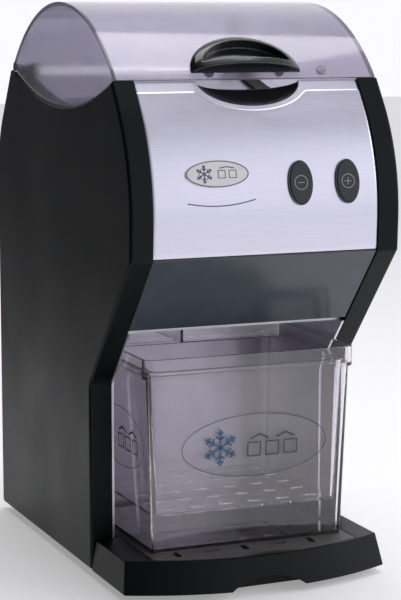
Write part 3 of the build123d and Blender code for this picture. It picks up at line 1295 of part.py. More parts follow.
MIDDLE = Plane.YZ
NODES = {
    "side_casing_left": mirror(side_casing(), about=MIDDLE),
    "side_casing_right": side_casing(),
    "rear_cover": rear_cover(),
    "frame_rails": frame_rails(),
    "front_panel": front_panel(),
    "recess_cup": recess_cup(),
    "badge_plate": badge_plate(),
    "chute_guard": chute_guard(),
    "base_plate": base_plate(),
    "bay_back": bay_back(),
    "bay_liner_left": mirror(bay_liner(), about=MIDDLE),
    "bay_liner_right": bay_liner(),
    "motor_deck": motor_deck(),
    "hopper": hopper(),
    "hopper_deck": hopper_deck(),
    "crusher_housing": crusher_housing(),
    "shaft_bearings": shaft_bearings(),
    "shaft_seals": shaft_seals(),
    "fixed_comb": fixed_comb(),
    "discharge_chute": discharge_chute(),
    "support_posts": support_posts(),
    "gearbox_plate": gearbox_plate(),
    "gearbox_cover": gearbox_cover(),
    "gearbox_screws": gearbox_screws(),
    "motor_housing": motor_housing(),
    "motor_bell": motor_bell(),
    "motor_saddle": motor_saddle(),
    "run_capacitor": run_capacitor(),
    "capacitor_clip": capacitor_clip(),
    "control_board": control_board(),
    "terminal_block": terminal_block(),
    "cable_gland": cable_gland(),
    "button_bezels": button_bezels(),
    "button_board": button_board(),
    "lid_sensor": lid_sensor(),
    "hinge_brackets": hinge_brackets(),
    "feet": feet(),
    "foot_screws": foot_screws(),
    "rear_screws": rear_screws(),
    "lid_shell": lid_shell(),
    "lid_handle": lid_handle(),
    "handle_screws": handle_screws(),
    "lid_magnet": lid_magnet(),
    "hinge_pins": hinge_pins(),
    "button_minus": button(MINUS_PLANE),
    "button_plus": button(PLUS_PLANE),
    "motor_shaft": motor_shaft(),
    "motor_armature": motor_armature(),
    "motor_fan": motor_fan(),
    "motor_pinion": motor_pinion(),
    "idler_shaft": idler_shaft(),
    "idler_gear": idler_gear(),
    "crusher_shaft": crusher_shaft(),
    "breaker_discs": breaker_discs(),
    "disc_spacers": disc_spacers(),
    "output_gear": output_gear(),
    "drip_tray": drip_tray(),
    "drip_grid": drip_grid(),
    "ice_bin": ice_bin(),
    "drainer_basket": drainer_basket(),
}

os.makedirs("parts", exist_ok=True)
for name, shape in NODES.items():
    export_step(shape, f"parts/{name}.step")

print("nodes", len(NODES))
print("hinge", HINGE_Y, HINGE_Z, "crusher", CRUSHER_AXIS, "idler", IDLER_AXIS, "motor", MOTOR_AXIS)
print("button push", [-a for a in PLUS_PLANE.z_dir], "gland", (GLAND_X, REAR_Y, GLAND_Z))
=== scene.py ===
import json
import math

import bmesh
import bpy
from mathutils import Matrix, Vector

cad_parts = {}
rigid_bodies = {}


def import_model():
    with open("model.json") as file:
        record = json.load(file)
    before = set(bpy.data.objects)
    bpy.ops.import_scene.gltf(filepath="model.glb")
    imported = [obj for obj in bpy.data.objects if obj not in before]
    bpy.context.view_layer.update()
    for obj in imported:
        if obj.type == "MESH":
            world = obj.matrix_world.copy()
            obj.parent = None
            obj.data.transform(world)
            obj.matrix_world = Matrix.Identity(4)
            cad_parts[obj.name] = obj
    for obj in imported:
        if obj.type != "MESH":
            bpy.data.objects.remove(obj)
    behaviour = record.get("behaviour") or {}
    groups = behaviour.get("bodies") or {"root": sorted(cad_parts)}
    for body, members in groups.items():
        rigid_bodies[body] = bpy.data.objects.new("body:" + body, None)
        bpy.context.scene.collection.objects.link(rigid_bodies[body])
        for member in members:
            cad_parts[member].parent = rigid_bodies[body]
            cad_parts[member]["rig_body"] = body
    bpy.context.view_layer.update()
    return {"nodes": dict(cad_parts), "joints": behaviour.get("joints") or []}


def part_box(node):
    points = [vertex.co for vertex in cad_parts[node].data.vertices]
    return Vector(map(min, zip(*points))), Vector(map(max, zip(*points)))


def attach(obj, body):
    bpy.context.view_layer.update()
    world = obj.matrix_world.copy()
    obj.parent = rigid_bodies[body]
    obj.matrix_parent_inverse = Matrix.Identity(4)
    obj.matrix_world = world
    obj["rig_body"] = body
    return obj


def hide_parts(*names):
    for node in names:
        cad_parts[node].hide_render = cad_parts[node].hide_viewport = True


# Electric ice crusher: black moulded casings, a satin steel front, a smoked chute guard,
# a clear lid with a scooped grip and a clear ice bin that stands on the drip tray.

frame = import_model()
mm = 0.001
print("frame loaded:", len(frame["nodes"]), "nodes")


def toLinear(hexColour, alpha=1.0):
    values = [int(hexColour[i:i + 2], 16) / 255 for i in (1, 3, 5)]
    return [v / 12.92 if v <= 0.04045 else ((v + 0.055) / 1.055) ** 2.4 for v in values] + [alpha]


def newMaterial(name, **shader):
    material = bpy.data.materials.new(name)
    material.use_nodes = True
    principled = material.node_tree.nodes["Principled BSDF"]
    for socket, value in shader.items():
        principled.inputs[socket.replace("_", " ")].default_value = value
    return material, principled


def addNode(owner, kind, settings=None, links=None):
    tree = owner.node_tree
    made = tree.nodes.new("ShaderNode" + kind)
    for name, value in (settings or {}).items():
        if isinstance(name, int) or name in made.inputs:
            made.inputs[name].default_value = value
        else:
            setattr(made, name, value)
    for name, source in (links or {}).items():
        tree.links.new(source, made.inputs[name])
    return made


def objectPoint(owner, stretch=(1, 1, 1)):
    # Coordinates fixed to the piece; a small stretch draws a pattern out along that axis.
    place = addNode(owner, "TexCoord")
    point = addNode(owner, "Mapping", {"Scale": stretch}, {"Vector": place.outputs["Object"]})
    return point.outputs["Vector"]


def wearSurface(owner, shader, look, tone, wear, span, relief):
    # Colour, roughness and relief of a worn surface, each led by its own pattern.
    low, high, least, most = span
    colours = {"data_type": "RGBA", 6: toLinear(look["dark"]), 7: toLinear(look["light"])}
    colour = addNode(owner, "Mix", colours, {0: tone})
    limits = {"From Min": low, "From Max": high, "To Min": least, "To Max": most}
    rough = addNode(owner, "MapRange", limits, {"Value": wear})
    depth = {"Strength": look["bump"], "Distance": look["relief"] * mm}
    bump = addNode(owner, "Bump", depth, {"Height": relief})
    tree = owner.node_tree
    tree.links.new(colour.outputs[2], shader.inputs["Base Color"])
    tree.links.new(rough.outputs["Result"], shader.inputs["Roughness"])
    tree.links.new(bump.outputs["Normal"], shader.inputs["Normal"])


def texturedPlastic(name, look):
    # Moulded in a spark-eroded tool: a fine even grain that breaks the gloss, with
    # broad faint clouding from handling.
    material, shader = newMaterial(name, IOR=look["ior"], Roughness=look["roughness"],
                                   Specular_IOR_Level=look.get("sheen", 0.5))
    point = objectPoint(material)
    fine = {"Scale": 1 / (look["grain"] * mm), "Detail": 2.0}
    broad = {"Scale": 1 / (look["cloud"] * mm), "Detail": 3.0}
    grain = addNode(material, "TexNoise", fine, {"Vector": point}).outputs["Fac"]
    cloud = addNode(material, "TexNoise", broad, {"Vector": point}).outputs["Fac"]
    span = (0.3, 0.7, look["roughness"] - look["spread"], look["roughness"] + look["spread"])
    wearSurface(material, shader, look, cloud, cloud, span, grain)
    return material


# ABS casing: near black and even. The real grain is about 0.3 mm; it is drawn at 1.2 mm so
# that it still shows.
absLook = {
    "ior": 1.53, "roughness": 0.4, "spread": 0.04, "grain": 1.2, "cloud": 70.0, "bump": 0.14,
    "relief": 0.1, "sheen": 0.16, "dark": "#060a0a", "light": "#0a0f0f",
}
# Polypropylene grid: waxy mid grey with a soft gleam, its 0.2 mm grain drawn at 1 mm.
gridLook = {
    "ior": 1.49, "roughness": 0.48, "spread": 0.07, "grain": 1.0, "cloud": 30.0, "bump": 0.2,
    "relief": 0.1, "sheen": 0.4, "dark": "#5b5957", "light": "#6d6a68",
}
# Nitrile rubber, pressed: dull, dusty black with hardly any highlight.
rubberLook = {
    "ior": 1.52, "roughness": 0.78, "spread": 0.06, "grain": 1.0, "cloud": 12.0, "bump": 0.4,
    "relief": 0.1, "dark": "#141414", "light": "#1c1c1c",
}
# Elastomer moulded over the buttons: charcoal, and soft enough to the eye to show no glare.
softLook = dict(rubberLook, roughness=0.6, cloud=2.0, dark="#232527", light="#3b3e42")
# Nylon, moulded in one piece: off-white with a dull gleam.
nylonLook = {
    "ior": 1.53, "roughness": 0.45, "spread": 0.06, "grain": 0.8, "cloud": 9.0, "bump": 0.2,
    "relief": 0.1, "dark": "#d9d6c8", "light": "#e6e3d8",
}
# Enamel, sprayed and stoved on the motor: dark, glossy, with a slight orange-peel skin.
enamelLook = {
    "ior": 1.5, "roughness": 0.32, "spread": 0.06, "grain": 1.5, "cloud": 14.0, "bump": 0.3,
    "relief": 0.1, "dark": "#2b2e31", "light": "#34383b",
}
# Solder mask, screened over copper: glossy green that dips and rises over the tracks.
maskLook = {
    "ior": 1.5, "roughness": 0.3, "spread": 0.06, "grain": 0.8, "cloud": 6.0, "bump": 0.25,
    "relief": 0.1, "dark": "#0e4a24", "light": "#176534",
}

mouldedAbs = texturedPlastic("abs_moulded_grain", absLook)
gridPolypropylene = texturedPlastic("polypropylene_grid", gridLook)
footRubber = texturedPlastic("rubber_foot", rubberLook)
sealRubber = texturedPlastic("nitrile_seal", rubberLook)
naturalNylon = texturedPlastic("nylon_natural", nylonLook)
motorEnamel = texturedPlastic("enamel_motor", enamelLook)
solderMask = texturedPlastic("solder_mask_green", maskLook)
softElastomer = texturedPlastic("elastomer_soft_touch", softLook)

# ABS from a polished tool: deep black and mirror-like, with the slow waviness of moulded gloss.
glossLook = {
    "roughness": 0.16, "spread": 0.12, "coat": 0.35, "coatRoughness": 0.04, "wave": 9.0,
    "smear": 14.0, "bump": 0.12, "relief": 0.1, "dark": "#0e1112", "light": "#15191a",
}


def polishedAbs(look):
    material, shader = newMaterial("abs_polished_black", IOR=1.53, Roughness=look["roughness"],
                                   Coat_Weight=look["coat"], Coat_Roughness=look["coatRoughness"])
    point = objectPoint(material)
    slow = {"Scale": 1 / (look["wave"] * mm), "Detail": 1.0}
    wiped = {"Scale": 1 / (look["smear"] * mm), "Detail": 4.0}
    wave = addNode(material, "TexNoise", slow, {"Vector": point}).outputs["Fac"]
    smear = addNode(material, "TexNoise", wiped, {"Vector": point}).outputs["Fac"]
    span = (0.35, 0.75, look["roughness"], look["roughness"] + look["spread"])
    wearSurface(material, shader, look, smear, smear, span, wave)
    return material


glossAbs = polishedAbs(glossLook)


def brushedMetal(name, look):
    # Fine lines that stretch reflections across the grain, over slow clouding. A stretch of
    # 1, 1, 1 gives an even skin instead, as casting, plating or sintering does.
    material, shader = newMaterial(name, Metallic=1.0, Roughness=look["roughness"],
                                   Anisotropic=look["anisotropic"])
    lines = objectPoint(material, look["stretch"])
    plain = objectPoint(material)
    fine = {"Scale": 1 / (look["hair"] * mm), "Detail": 3.0}
    broad = {"Scale": 1 / (look["cloud"] * mm), "Detail": 3.0}
    hair = addNode(material, "TexNoise", fine, {"Vector": lines}).outputs["Fac"]
    cloud = addNode(material, "TexNoise", broad, {"Vector": plain}).outputs["Fac"]
    both = addNode(material, "Math", {"operation": "ADD"}, {0: hair, 1: cloud}).outputs["Value"]
    span = (0.7, 1.3, look["roughness"] - look["spread"], look["roughness"] + look["spread"])
    wearSurface(material, shader, look, hair, both, span, hair)
    return material


# Stainless panel, satin brushed: bright, cool, with soft level streaks. The real lines are
# under 0.1 mm apart, drawn here at 0.5 mm.
satinLook = {
    "roughness": 0.3, "spread": 0.04, "anisotropic": 0.3, "stretch": (0.02, 1, 1), "hair": 0.5,
    "cloud": 45.0, "bump": 0.06, "relief": 0.05, "dark": "#d8d6e6", "light": "#e8e6f5",
}
# Stainless sheet as rolled: greyer and a little duller than the panel.
sheetLook = {
    "roughness": 0.34, "spread": 0.06, "anisotropic": 0.2, "stretch": (0.03, 1, 1), "hair": 0.6,
    "cloud": 30.0, "bump": 0.08, "relief": 0.05, "dark": "#dddde3", "light": "#ededf1",
}
# Zinc-plated sheet: pale blue-grey with cloudy patches.
zincLook = {
    "roughness": 0.38, "spread": 0.1, "anisotropic": 0.0, "stretch": (1, 1, 1), "hair": 3.0,
    "cloud": 8.0, "bump": 0.1, "relief": 0.05, "dark": "#a9adb3", "light": "#c7cacd",
}
# Aluminium as cast: dull grey and pebbled.
castLook = {
    "roughness": 0.5, "spread": 0.08, "anisotropic": 0.0, "stretch": (1, 1, 1), "hair": 1.2,
    "cloud": 12.0, "bump": 0.6, "relief": 0.05, "dark": "#8f9294", "light": "#a9abac",
}
# Hardened steel, ground: grey and sharp, with fine level scratches.
groundLook = {
    "roughness": 0.24, "spread": 0.07, "anisotropic": 0.3, "stretch": (0.05, 1, 1), "hair": 0.5,
    "cloud": 8.0, "bump": 0.1, "relief": 0.05, "dark": "#9a9a9d", "light": "#b5b5b8",
}
# Bronze, sintered: brown, dull and finely pitted.
bronzeLook = {
    "roughness": 0.42, "spread": 0.08, "anisotropic": 0.0, "stretch": (1, 1, 1), "hair": 0.6,
    "cloud": 5.0, "bump": 0.3, "relief": 0.05, "dark": "#8d6a3a", "light": "#a88350",
}
# Aluminium can, deep drawn: upright drawing lines that catch the light.
canLook = {
    "roughness": 0.3, "spread": 0.05, "anisotropic": 0.3, "stretch": (1, 1, 0.04), "hair": 0.6,
    "cloud": 10.0, "bump": 0.08, "relief": 0.05, "dark": "#b4b5b8", "light": "#c9cacc",
}
# The badge is the same metal brushed level, and lighter.
badgeSheetLook = dict(canLook, stretch=(0.04, 1, 1), dark="#c5c3c4", light="#d6d4d6")
# Screws, zinc plated: small bright heads with little texture.
screwLook = {
    "roughness": 0.26, "spread": 0.06, "anisotropic": 0.0, "stretch": (1, 1, 1), "hair": 0.8,
    "cloud": 3.0, "bump": 0.1, "relief": 0.05, "dark": "#b0b2b5", "light": "#cdced0",
}

satinSteel = brushedMetal("stainless_satin_brushed", satinLook)
sheetSteel = brushedMetal("stainless_sheet", sheetLook)
zincSheet = brushedMetal("zinc_plated_sheet", zincLook)
castAluminium = brushedMetal("aluminium_as_cast", castLook)
groundSteel = brushedMetal("steel_hardened_ground", groundLook)
sinteredBronze = brushedMetal("bronze_sintered", bronzeLook)
drawnCan = brushedMetal("aluminium_drawn_can", canLook)
zincScrew = brushedMetal("steel_screw_zinc", screwLook)
badgeAluminium = brushedMetal("aluminium_badge_brushed", badgeSheetLook)


def clearPlastic(name, look):
    # Polycarbonate, injection moulded: clear with a cool cast, faint flow lines and a touch of
    # haze from washing that catches the light.
    material, shader = newMaterial(name, IOR=look["ior"], Roughness=look["roughness"],
                                   Transmission_Weight=look["clear"])
    point = objectPoint(material)
    drawn = {"Scale": 1 / (look["flow"] * mm), "Detail": 2.0, "Distortion": 0.6}
    misted = {"Scale": 1 / (look["haze"] * mm), "Detail": 4.0}
    flow = addNode(material, "TexNoise", drawn, {"Vector": point}).outputs["Fac"]
    haze = addNode(material, "TexNoise", misted, {"Vector": point}).outputs["Fac"]
    span = (0.35, 0.8, look["roughness"], look["roughness"] + look["spread"])
    wearSurface(material, shader, look, haze, haze, span, flow)
    return material


clearLook = {
    "ior": 1.49, "roughness": 0.01, "spread": 0.04, "flow": 22.0, "haze": 18.0, "bump": 0.1,
    "relief": 0.1, "clear": 0.98, "dark": "#f3f1f6", "light": "#fdfcfe",
}
lidLook = {
    "ior": 1.49, "roughness": 0.06, "spread": 0.1, "flow": 34.0, "haze": 30.0, "bump": 0.12,
    "relief": 0.1, "clear": 0.86, "dark": "#d9d5e6", "light": "#efecf5",
}
smokedLook = {
    "ior": 1.5, "roughness": 0.14, "spread": 0.06, "flow": 30.0, "haze": 20.0, "bump": 0.1,
    "relief": 0.1, "clear": 0.3, "dark": "#4c535c", "light": "#5b626b",
}
clearPolycarbonate = clearPlastic("polycarbonate_clear", clearLook)
lidPolycarbonate = clearPlastic("polycarbonate_lid", lidLook)
smokedPolycarbonate = clearPlastic("polycarbonate_smoked", smokedLook)

finishOfSlot = {
    "casing_abs": mouldedAbs, "gloss_black": glossAbs, "soft_touch": softElastomer,
    "panel_steel": satinSteel, "hopper_steel": sheetSteel, "badge_aluminium": badgeAluminium,
    "smoked_pc": smokedPolycarbonate, "clear_pc": clearPolycarbonate, "grid_plastic": gridPolypropylene,
    "zinc_sheet": zincSheet, "cast_aluminium": castAluminium, "hardened_steel": groundSteel,
    "bearing_bronze": sinteredBronze, "seal_rubber": sealRubber, "foot_rubber": footRubber,
    "motor_paint": motorEnamel, "nylon": naturalNylon, "board": solderMask,
    "capacitor_can": drawnCan, "screw_steel": zincScrew, "magnet": zincScrew,
}
for node in frame["nodes"].values():
    for materialSlot in node.material_slots:
        materialSlot.material = finishOfSlot[materialSlot.material.name.split(".")[0]]
print("finishes given to", len(finishOfSlot), "slots")


def printedInk(name, dark, light):
    # Screen-printed ink: thin, satin, a little uneven where the mesh laid it down.
    material, shader = newMaterial(name, Roughness=0.45)
    uneven = {"Scale": 1 / (1.5 * mm), "Detail": 2.0}
    speck = addNode(material, "TexNoise", uneven, {"Vector": objectPoint(material)}).outputs["Fac"]
    colours = {"data_type": "RGBA", 6: toLinear(dark), 7: toLinear(light)}
    tone = addNode(material, "Mix", colours, {0: speck})
    material.node_tree.links.new(tone.outputs[2], shader.inputs["Base Color"])
    return material


charcoalInk = printedInk("ink_charcoal", "#3c4048", "#4a4e56")
blueInk = printedInk("ink_slate_blue", "#44607c", "#526e8a")
paleInk = printedInk("ink_pale_grey", "#8f9397", "#9da1a5")


def newPiece(name, mesh, body, material):
    made = bpy.data.objects.new(name, mesh)
    bpy.context.scene.collection.objects.link(made)
    mesh.materials.clear()
    mesh.materials.append(material)
    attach(made, body)
    return made


def newMesh(name, form):
    mesh = bpy.data.meshes.new(name)
    form.to_mesh(mesh)
    form.free()
    return mesh


def settle(made, sharpDegrees):
    # Bakes the modifiers into the mesh and keeps only its real edges sharp.
    bpy.context.view_layer.update()
    graph = bpy.context.evaluated_depsgraph_get()
    mesh = bpy.data.meshes.new_from_object(made.evaluated_get(graph))
    made.modifiers.clear()
    mesh.name = made.name
    made.data = mesh
    form = bmesh.new()
    form.from_mesh(mesh)
    for face in form.faces:
        face.smooth = True
    limit = math.radians(sharpDegrees)
    for edge in form.edges:
        edge.smooth = len(edge.link_faces) == 2 and edge.calc_face_angle(0.0) < limit
    form.to_mesh(mesh)
    form.free()
    weigh = made.modifiers.new("weighted_normals", "WEIGHTED_NORMAL")
    weigh.keep_sharp = True
    return made


# Corner radii in millimetres, as each mould or press leaves them.
softDefaults = {"weld": 0.002, "flat": 1.0, "segments": 3, "angle": 38, "sharp": 50}
softLooks = {
    "drip_tray": {"radius": 1.1}, "chute_guard": {"radius": 0.8}, "ice_bin": {"radius": 0.9},
    "drainer_basket": {"radius": 0.6, "segments": 2}, "discharge_chute": {"radius": 1.0},
    "drip_grid": {"radius": 0.5, "segments": 2}, "lid_shell": {"radius": 1.3, "angle": 30},
}
softFinishes = {"lid_shell": lidPolycarbonate}


def softEdges(node, ownLook):
    # The CAD piece with rounded corners.
    look = dict(softDefaults, **ownLook)
    source = frame["nodes"][node]
    mesh = source.data.copy()
    form = bmesh.new()
    form.from_mesh(mesh)
    bmesh.ops.remove_doubles(form, verts=form.verts, dist=look["weld"] * mm)
    flatAngle = math.radians(look["flat"])
    bmesh.ops.dissolve_limit(form, angle_limit=flatAngle, verts=form.verts, edges=form.edges)
    form.to_mesh(mesh)
    form.free()
    finish = softFinishes.get(node, source.data.materials[0])
    made = newPiece(node + "_soft", mesh, source["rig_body"], finish)
    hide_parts(node)
    bevel = made.modifiers.new("bevel", "BEVEL")
    bevel.width = look["radius"] * mm
    bevel.segments = look["segments"]
    bevel.limit_method = "ANGLE"
    bevel.angle_limit = math.radians(look["angle"])
    bevel.miter_outer = "MITER_ARC"
    return settle(made, look["sharp"])


for node, look in softLooks.items():
    softEdges(node, look)
print("corners rounded:", len(softLooks))


gripLook = {"voxel": 0.75, "relax": 0.5, "rounds": 7, "sharp": 70}


def roundedGrip():
    # The scooped grip with the thick, fully rounded rim of a moulding.
    source = frame["nodes"]["lid_handle"]
    made = newPiece("grip_moulded", source.data.copy(), source["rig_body"], glossAbs)
    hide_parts("lid_handle")
    remesh = made.modifiers.new("remesh", "REMESH")
    remesh.mode = "VOXEL"
    remesh.voxel_size = gripLook["voxel"] * mm
    remesh.use_smooth_shade = True
    relax = made.modifiers.new("relax", "SMOOTH")
    relax.factor = gripLook["relax"]
    relax.iterations = gripLook["rounds"]
    return settle(made, gripLook["sharp"])


roundedGrip()
print("grip rounded")


# The panel's outer face in side view is an arc between two straight runs that touch it.
# All in millimetres: upper and lower are the arc's ends, above and below its centre.
panelLook = {
    "arc": 149.2, "centreDrop": 104.586, "upper": 85.764, "upperSlope": 0.7025,
    "lower": -6.003, "lowerSlope": 0.0403, "sheet": 1.0, "columns": 160, "rows": 56, "topRows": 10,
    "crease": 8.7, "rimWidth": 50.0, "rimDrop": 22.9, "blend": 2.2, "sharp": 24,
}
# The fold steps the sheet back, and its edges turn in over the last band.
foldLook = {
    "start": 0.15, "run": 0.6, "step": 0.3, "tilt": 0.075, "rows": (-0.6, -0.15, 0.2, 0.6, 1.2),
    "band": 1.2, "sideTurn": 0.45, "footTurn": 0.4,
}
panelLow, panelHigh = [[v / mm for v in corner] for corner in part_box("front_panel")]
arcY = panelLow[1] + panelLook["arc"]
arcZ = panelHigh[2] - panelLook["centreDrop"]


def panelPoint(x, z, sunk=0.0):
    # A point of the panel's outer face and the way it faces, in millimetres.
    up = z - arcZ
    touch = min(max(up, panelLook["lower"]), panelLook["upper"])
    y = -math.sqrt(panelLook["arc"] ** 2 - touch ** 2)
    normal = Vector((0, y, touch)).normalized()
    if up > touch:
        y += (up - touch) * panelLook["upperSlope"]
    elif up < touch:
        y += (touch - up) * panelLook["lowerSlope"]
    return Vector((x, arcY + y, z)) - normal * sunk, normal


def creaseHeight(x):
    # The crease runs level and dips round the recess on a slightly wider ellipse.
    level = panelHigh[2] - panelLook["crease"]
    share = min(abs(x) / panelLook["rimWidth"], 1.0)
    dip = panelHigh[2] - panelLook["rimDrop"] * math.sqrt(1 - share ** 2)
    near = max(panelLook["blend"] - abs(level - dip), 0.0) / panelLook["blend"]
    return min(level, dip) - near * near * panelLook["blend"] / 4


def foldDepth(past):
    # How far the sheet lies back at this height past the crease.
    if past <= -foldLook["start"]:
        return 0.0
    step = foldLook["step"] * min((past + foldLook["start"]) / foldLook["run"], 1.0)
    return max(step + foldLook["tilt"] * max(past, 0), 0.0)


def pressedSheet():
    # Rows follow the crease, so that the fold is a clean line.
    left, low = panelLow[0], panelLow[2]
    right, high = panelHigh[0], panelHigh[2]
    band = foldLook["band"]
    form = bmesh.new()
    grid = []
    for i in range(panelLook["columns"] + 1):
        x = left + (right - left) * i / panelLook["columns"]
        crease = creaseHeight(x)
        under = crease - band - low
        over = high - crease - band
        rows = [low + under * k / panelLook["rows"] for k in range(panelLook["rows"] + 1)]
        rows += [crease + past for past in foldLook["rows"]]
        rows += [crease + band + over * k / panelLook["topRows"] for k in range(1, panelLook["topRows"] + 1)]
        side = max(abs(x) - right + band, 0) / band
        line = []
        for z in rows:
            foot = max(band - (z - low), 0) / band
            turned = foldLook["sideTurn"] * side ** 2 + foldLook["footTurn"] * foot ** 2
            point = panelPoint(x, z, foldDepth(z - crease) + turned)[0]
            line.append(form.verts.new(point * mm))
        grid.append(line)
    for one, other in zip(grid, grid[1:]):
        for k in range(len(one) - 1):
            form.faces.new((one[k], other[k], other[k + 1], one[k + 1]))
    return newMesh("panel_pressed", form)


def cutter(name, mesh):
    made = bpy.data.objects.new(name, mesh)
    bpy.context.scene.collection.objects.link(made)
    made.hide_render = True
    return made


# Sizes in millimetres; lift raises the recess's ball out of the sheet, above is its centre.
recessLook = {"half": 44.5, "reach": 24.5, "depth": 14.0, "above": 0.6, "lift": 0.8}
holeLook = {"half": (10.0, 17.0), "reach": 8.0}
ovalSides = 72


def recessBall():
    # Cuts the finger recess: a ball stretched along the sloping top of the panel.
    lean = Vector((0, panelLook["upperSlope"], 1)).normalized()
    point, normal = panelPoint(0, panelHigh[2] + recessLook["above"])
    centre = point + normal * recessLook["lift"]
    centre.x = 0
    axes = (Vector((recessLook["half"], 0, 0)), lean * recessLook["reach"], normal * recessLook["depth"])
    shape = Matrix([[*[axis[i] for axis in axes], centre[i]] for i in range(3)] + [[0, 0, 0, 1]])
    form = bmesh.new()
    scaled = Matrix.Scale(mm, 4) @ shape
    bmesh.ops.create_uvsphere(form, u_segments=120, v_segments=48, radius=1.0, matrix=scaled)
    bmesh.ops.recalc_face_normals(form, faces=form.faces)
    return cutter("recess_cut", newMesh("recess_cut", form))


def oval(halfWidth, halfHeight, count=ovalSides, middle=(0, 0)):
    turns = [2 * math.pi * i / count for i in range(count)]
    return [(middle[0] + halfWidth * math.cos(t), middle[1] + halfHeight * math.sin(t)) for t in turns]


def flat(plane, points, lift=0.0):
    # Points of a drawing laid on a plane, each with the way it faces.
    centre, across, along, out = plane
    return [(centre + across * u + along * v + out * lift, out) for u, v in points]


def buttonHole(plane):
    # A long oval bar square to the panel.
    form = bmesh.new()
    outline = oval(*holeLook["half"])
    near, far = [[form.verts.new(point * mm) for point, out in flat(plane, outline, lift)]
                 for lift in (-holeLook["reach"], holeLook["reach"])]
    for i in range(ovalSides):
        j = (i + 1) % ovalSides
        form.faces.new((near[i], near[j], far[j], far[i]))
    form.faces.new(near)
    form.faces.new(far)
    bmesh.ops.recalc_face_normals(form, faces=form.faces)
    return cutter("button_hole", newMesh("button_hole", form))


def facePlane(node, normal):
    # The flat front of a piece, in millimetres: its middle and three directions.
    out = Vector(normal).normalized()
    flatness = 0.05
    points = [v.co / mm for v in frame["nodes"][node].data.vertices]
    reach = max(p.dot(out) for p in points)
    front = [p for p in points if p.dot(out) > reach - flatness]
    low = Vector([min(p[i] for p in front) for i in range(3)])
    high = Vector([max(p[i] for p in front) for i in range(3)])
    across = Vector((1, 0, 0))
    across = (across - out * across.dot(out)).normalized()
    return (low + high) / 2, across, out.cross(across), out


pushAxis = next(j["axis"] for j in frame["joints"] if j["name"] == "plus_press")
buttonOut = [-v for v in pushAxis]
minusPlane = facePlane("button_minus", buttonOut)
plusPlane = facePlane("button_plus", buttonOut)


def curvedPanel():
    # Pressed sheet with a fold near its top that runs round the finger recess.
    made = newPiece("panel_pressed", pressedSheet(), "machine", satinSteel)
    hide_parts("front_panel")
    thick = made.modifiers.new("sheet", "SOLIDIFY")
    thick.thickness = panelLook["sheet"] * mm
    thick.offset = -1
    cutters = [recessBall(), buttonHole(minusPlane), buttonHole(plusPlane)]
    for tool in cutters:
        cut = made.modifiers.new("cut", "BOOLEAN")
        cut.operation = "DIFFERENCE"
        cut.solver = "EXACT"
        cut.object = tool
    settle(made, panelLook["sharp"])
    for tool in cutters:
        bpy.data.objects.remove(tool)
    return made


curvedPanel()
print("panel pressed")


def strokes(name, runs, width, lift, body, material):
    # Thin printed or raised lines: each run is points with the way they face, in millimetres.
    # They sink a little into the face, so that no light shows under them.
    sink = 0.05
    form = bmesh.new()
    for points, closed in runs:
        rings = []
        count = len(points)
        for i, (point, normal) in enumerate(points):
            before = points[(i - 1) % count][0] if closed or i else point
            after = points[(i + 1) % count][0] if closed or i < count - 1 else point
            side = normal.cross(after - before).normalized() * width / 2
            under = point - normal * sink
            over = point + normal * lift
            corners = [under - side, under + side, over + side, over - side]
            rings.append([form.verts.new(corner * mm) for corner in corners])
        pairs = list(zip(rings, rings[1:] + ([rings[0]] if closed else [])))
        for first, second in pairs:
            for k in range(4):
                form.faces.new((first[k], first[(k + 1) % 4], second[(k + 1) % 4], second[k]))
        if not closed:
            form.faces.new(rings[0])
            form.faces.new(rings[-1])
    bmesh.ops.recalc_face_normals(form, faces=form.faces)
    return newPiece(name, newMesh(name, form), body, material)


def square(left, low, size):
    return [(left, low), (left + size, low), (left + size, low + size), (left, low + size)]


def snowflake(size, middle=(0, 0)):
    # Six arms, each with two pairs of twigs.
    runs = []
    twigs = ((0.45, 0.3), (0.72, 0.22))
    for arm in range(6):
        angle = math.pi / 6 + arm * math.pi / 3
        way = (math.cos(angle), math.sin(angle))
        runs.append([middle, (middle[0] + way[0] * size, middle[1] + way[1] * size)])
        for share, length in twigs:
            root = (middle[0] + way[0] * size * share, middle[1] + way[1] * size * share)
            for turn in (-1, 1):
                lean = angle + turn * math.pi / 3.2
                tip = (root[0] + math.cos(lean) * size * length, root[1] + math.sin(lean) * size * length)
                runs.append([root, tip])
    return runs


symbolLook = {"ring": 5.4, "sides": 48, "bar": 3.0, "line": 0.75, "lift": 0.15}
for sign, plane in (("minus", minusPlane), ("plus", plusPlane)):
    bars = [[(-symbolLook["bar"], 0), (symbolLook["bar"], 0)]]
    if sign == "plus":
        bars.append([(0, -symbolLook["bar"]), (0, symbolLook["bar"])])
    ring = oval(symbolLook["ring"], symbolLook["ring"], symbolLook["sides"])
    runs = [(flat(plane, ring), True)] + [(flat(plane, bar), False) for bar in bars]
    strokes(sign + "_symbol", runs, symbolLook["line"], symbolLook["lift"], sign, paleInk)
print("button signs printed")

badgeLook = {
    "border": (25.4, 9.9), "borderLine": 0.7, "flake": 7.2, "flakeAt": (-11.0, 0), "flakeLine": 0.9,
    "cube": 5.8, "cubesAt": (0.5, 9.6), "cubeLow": -3.2, "cubeLine": 0.8, "lift": 0.12,
    "roof": [(2.0, 4.4), (7.6, 5.4), (13.8, 4.4)],
}
badgeLow, badgeHigh = [Vector(corner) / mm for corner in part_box("badge_plate")]
badgeHeight = (badgeLow.z + badgeHigh.z) / 2
badgePlane = facePlane("badge_plate", panelPoint(0, badgeHeight)[1])
badgeDrawings = [
    ("border", [(oval(*badgeLook["border"]), True)], charcoalInk),
    ("flake", [(run, False) for run in snowflake(badgeLook["flake"], badgeLook["flakeAt"])], blueInk),
    ("cube", [(square(left, badgeLook["cubeLow"], badgeLook["cube"]), True) for left in badgeLook["cubesAt"]]
     + [(badgeLook["roof"], False)], charcoalInk),
]
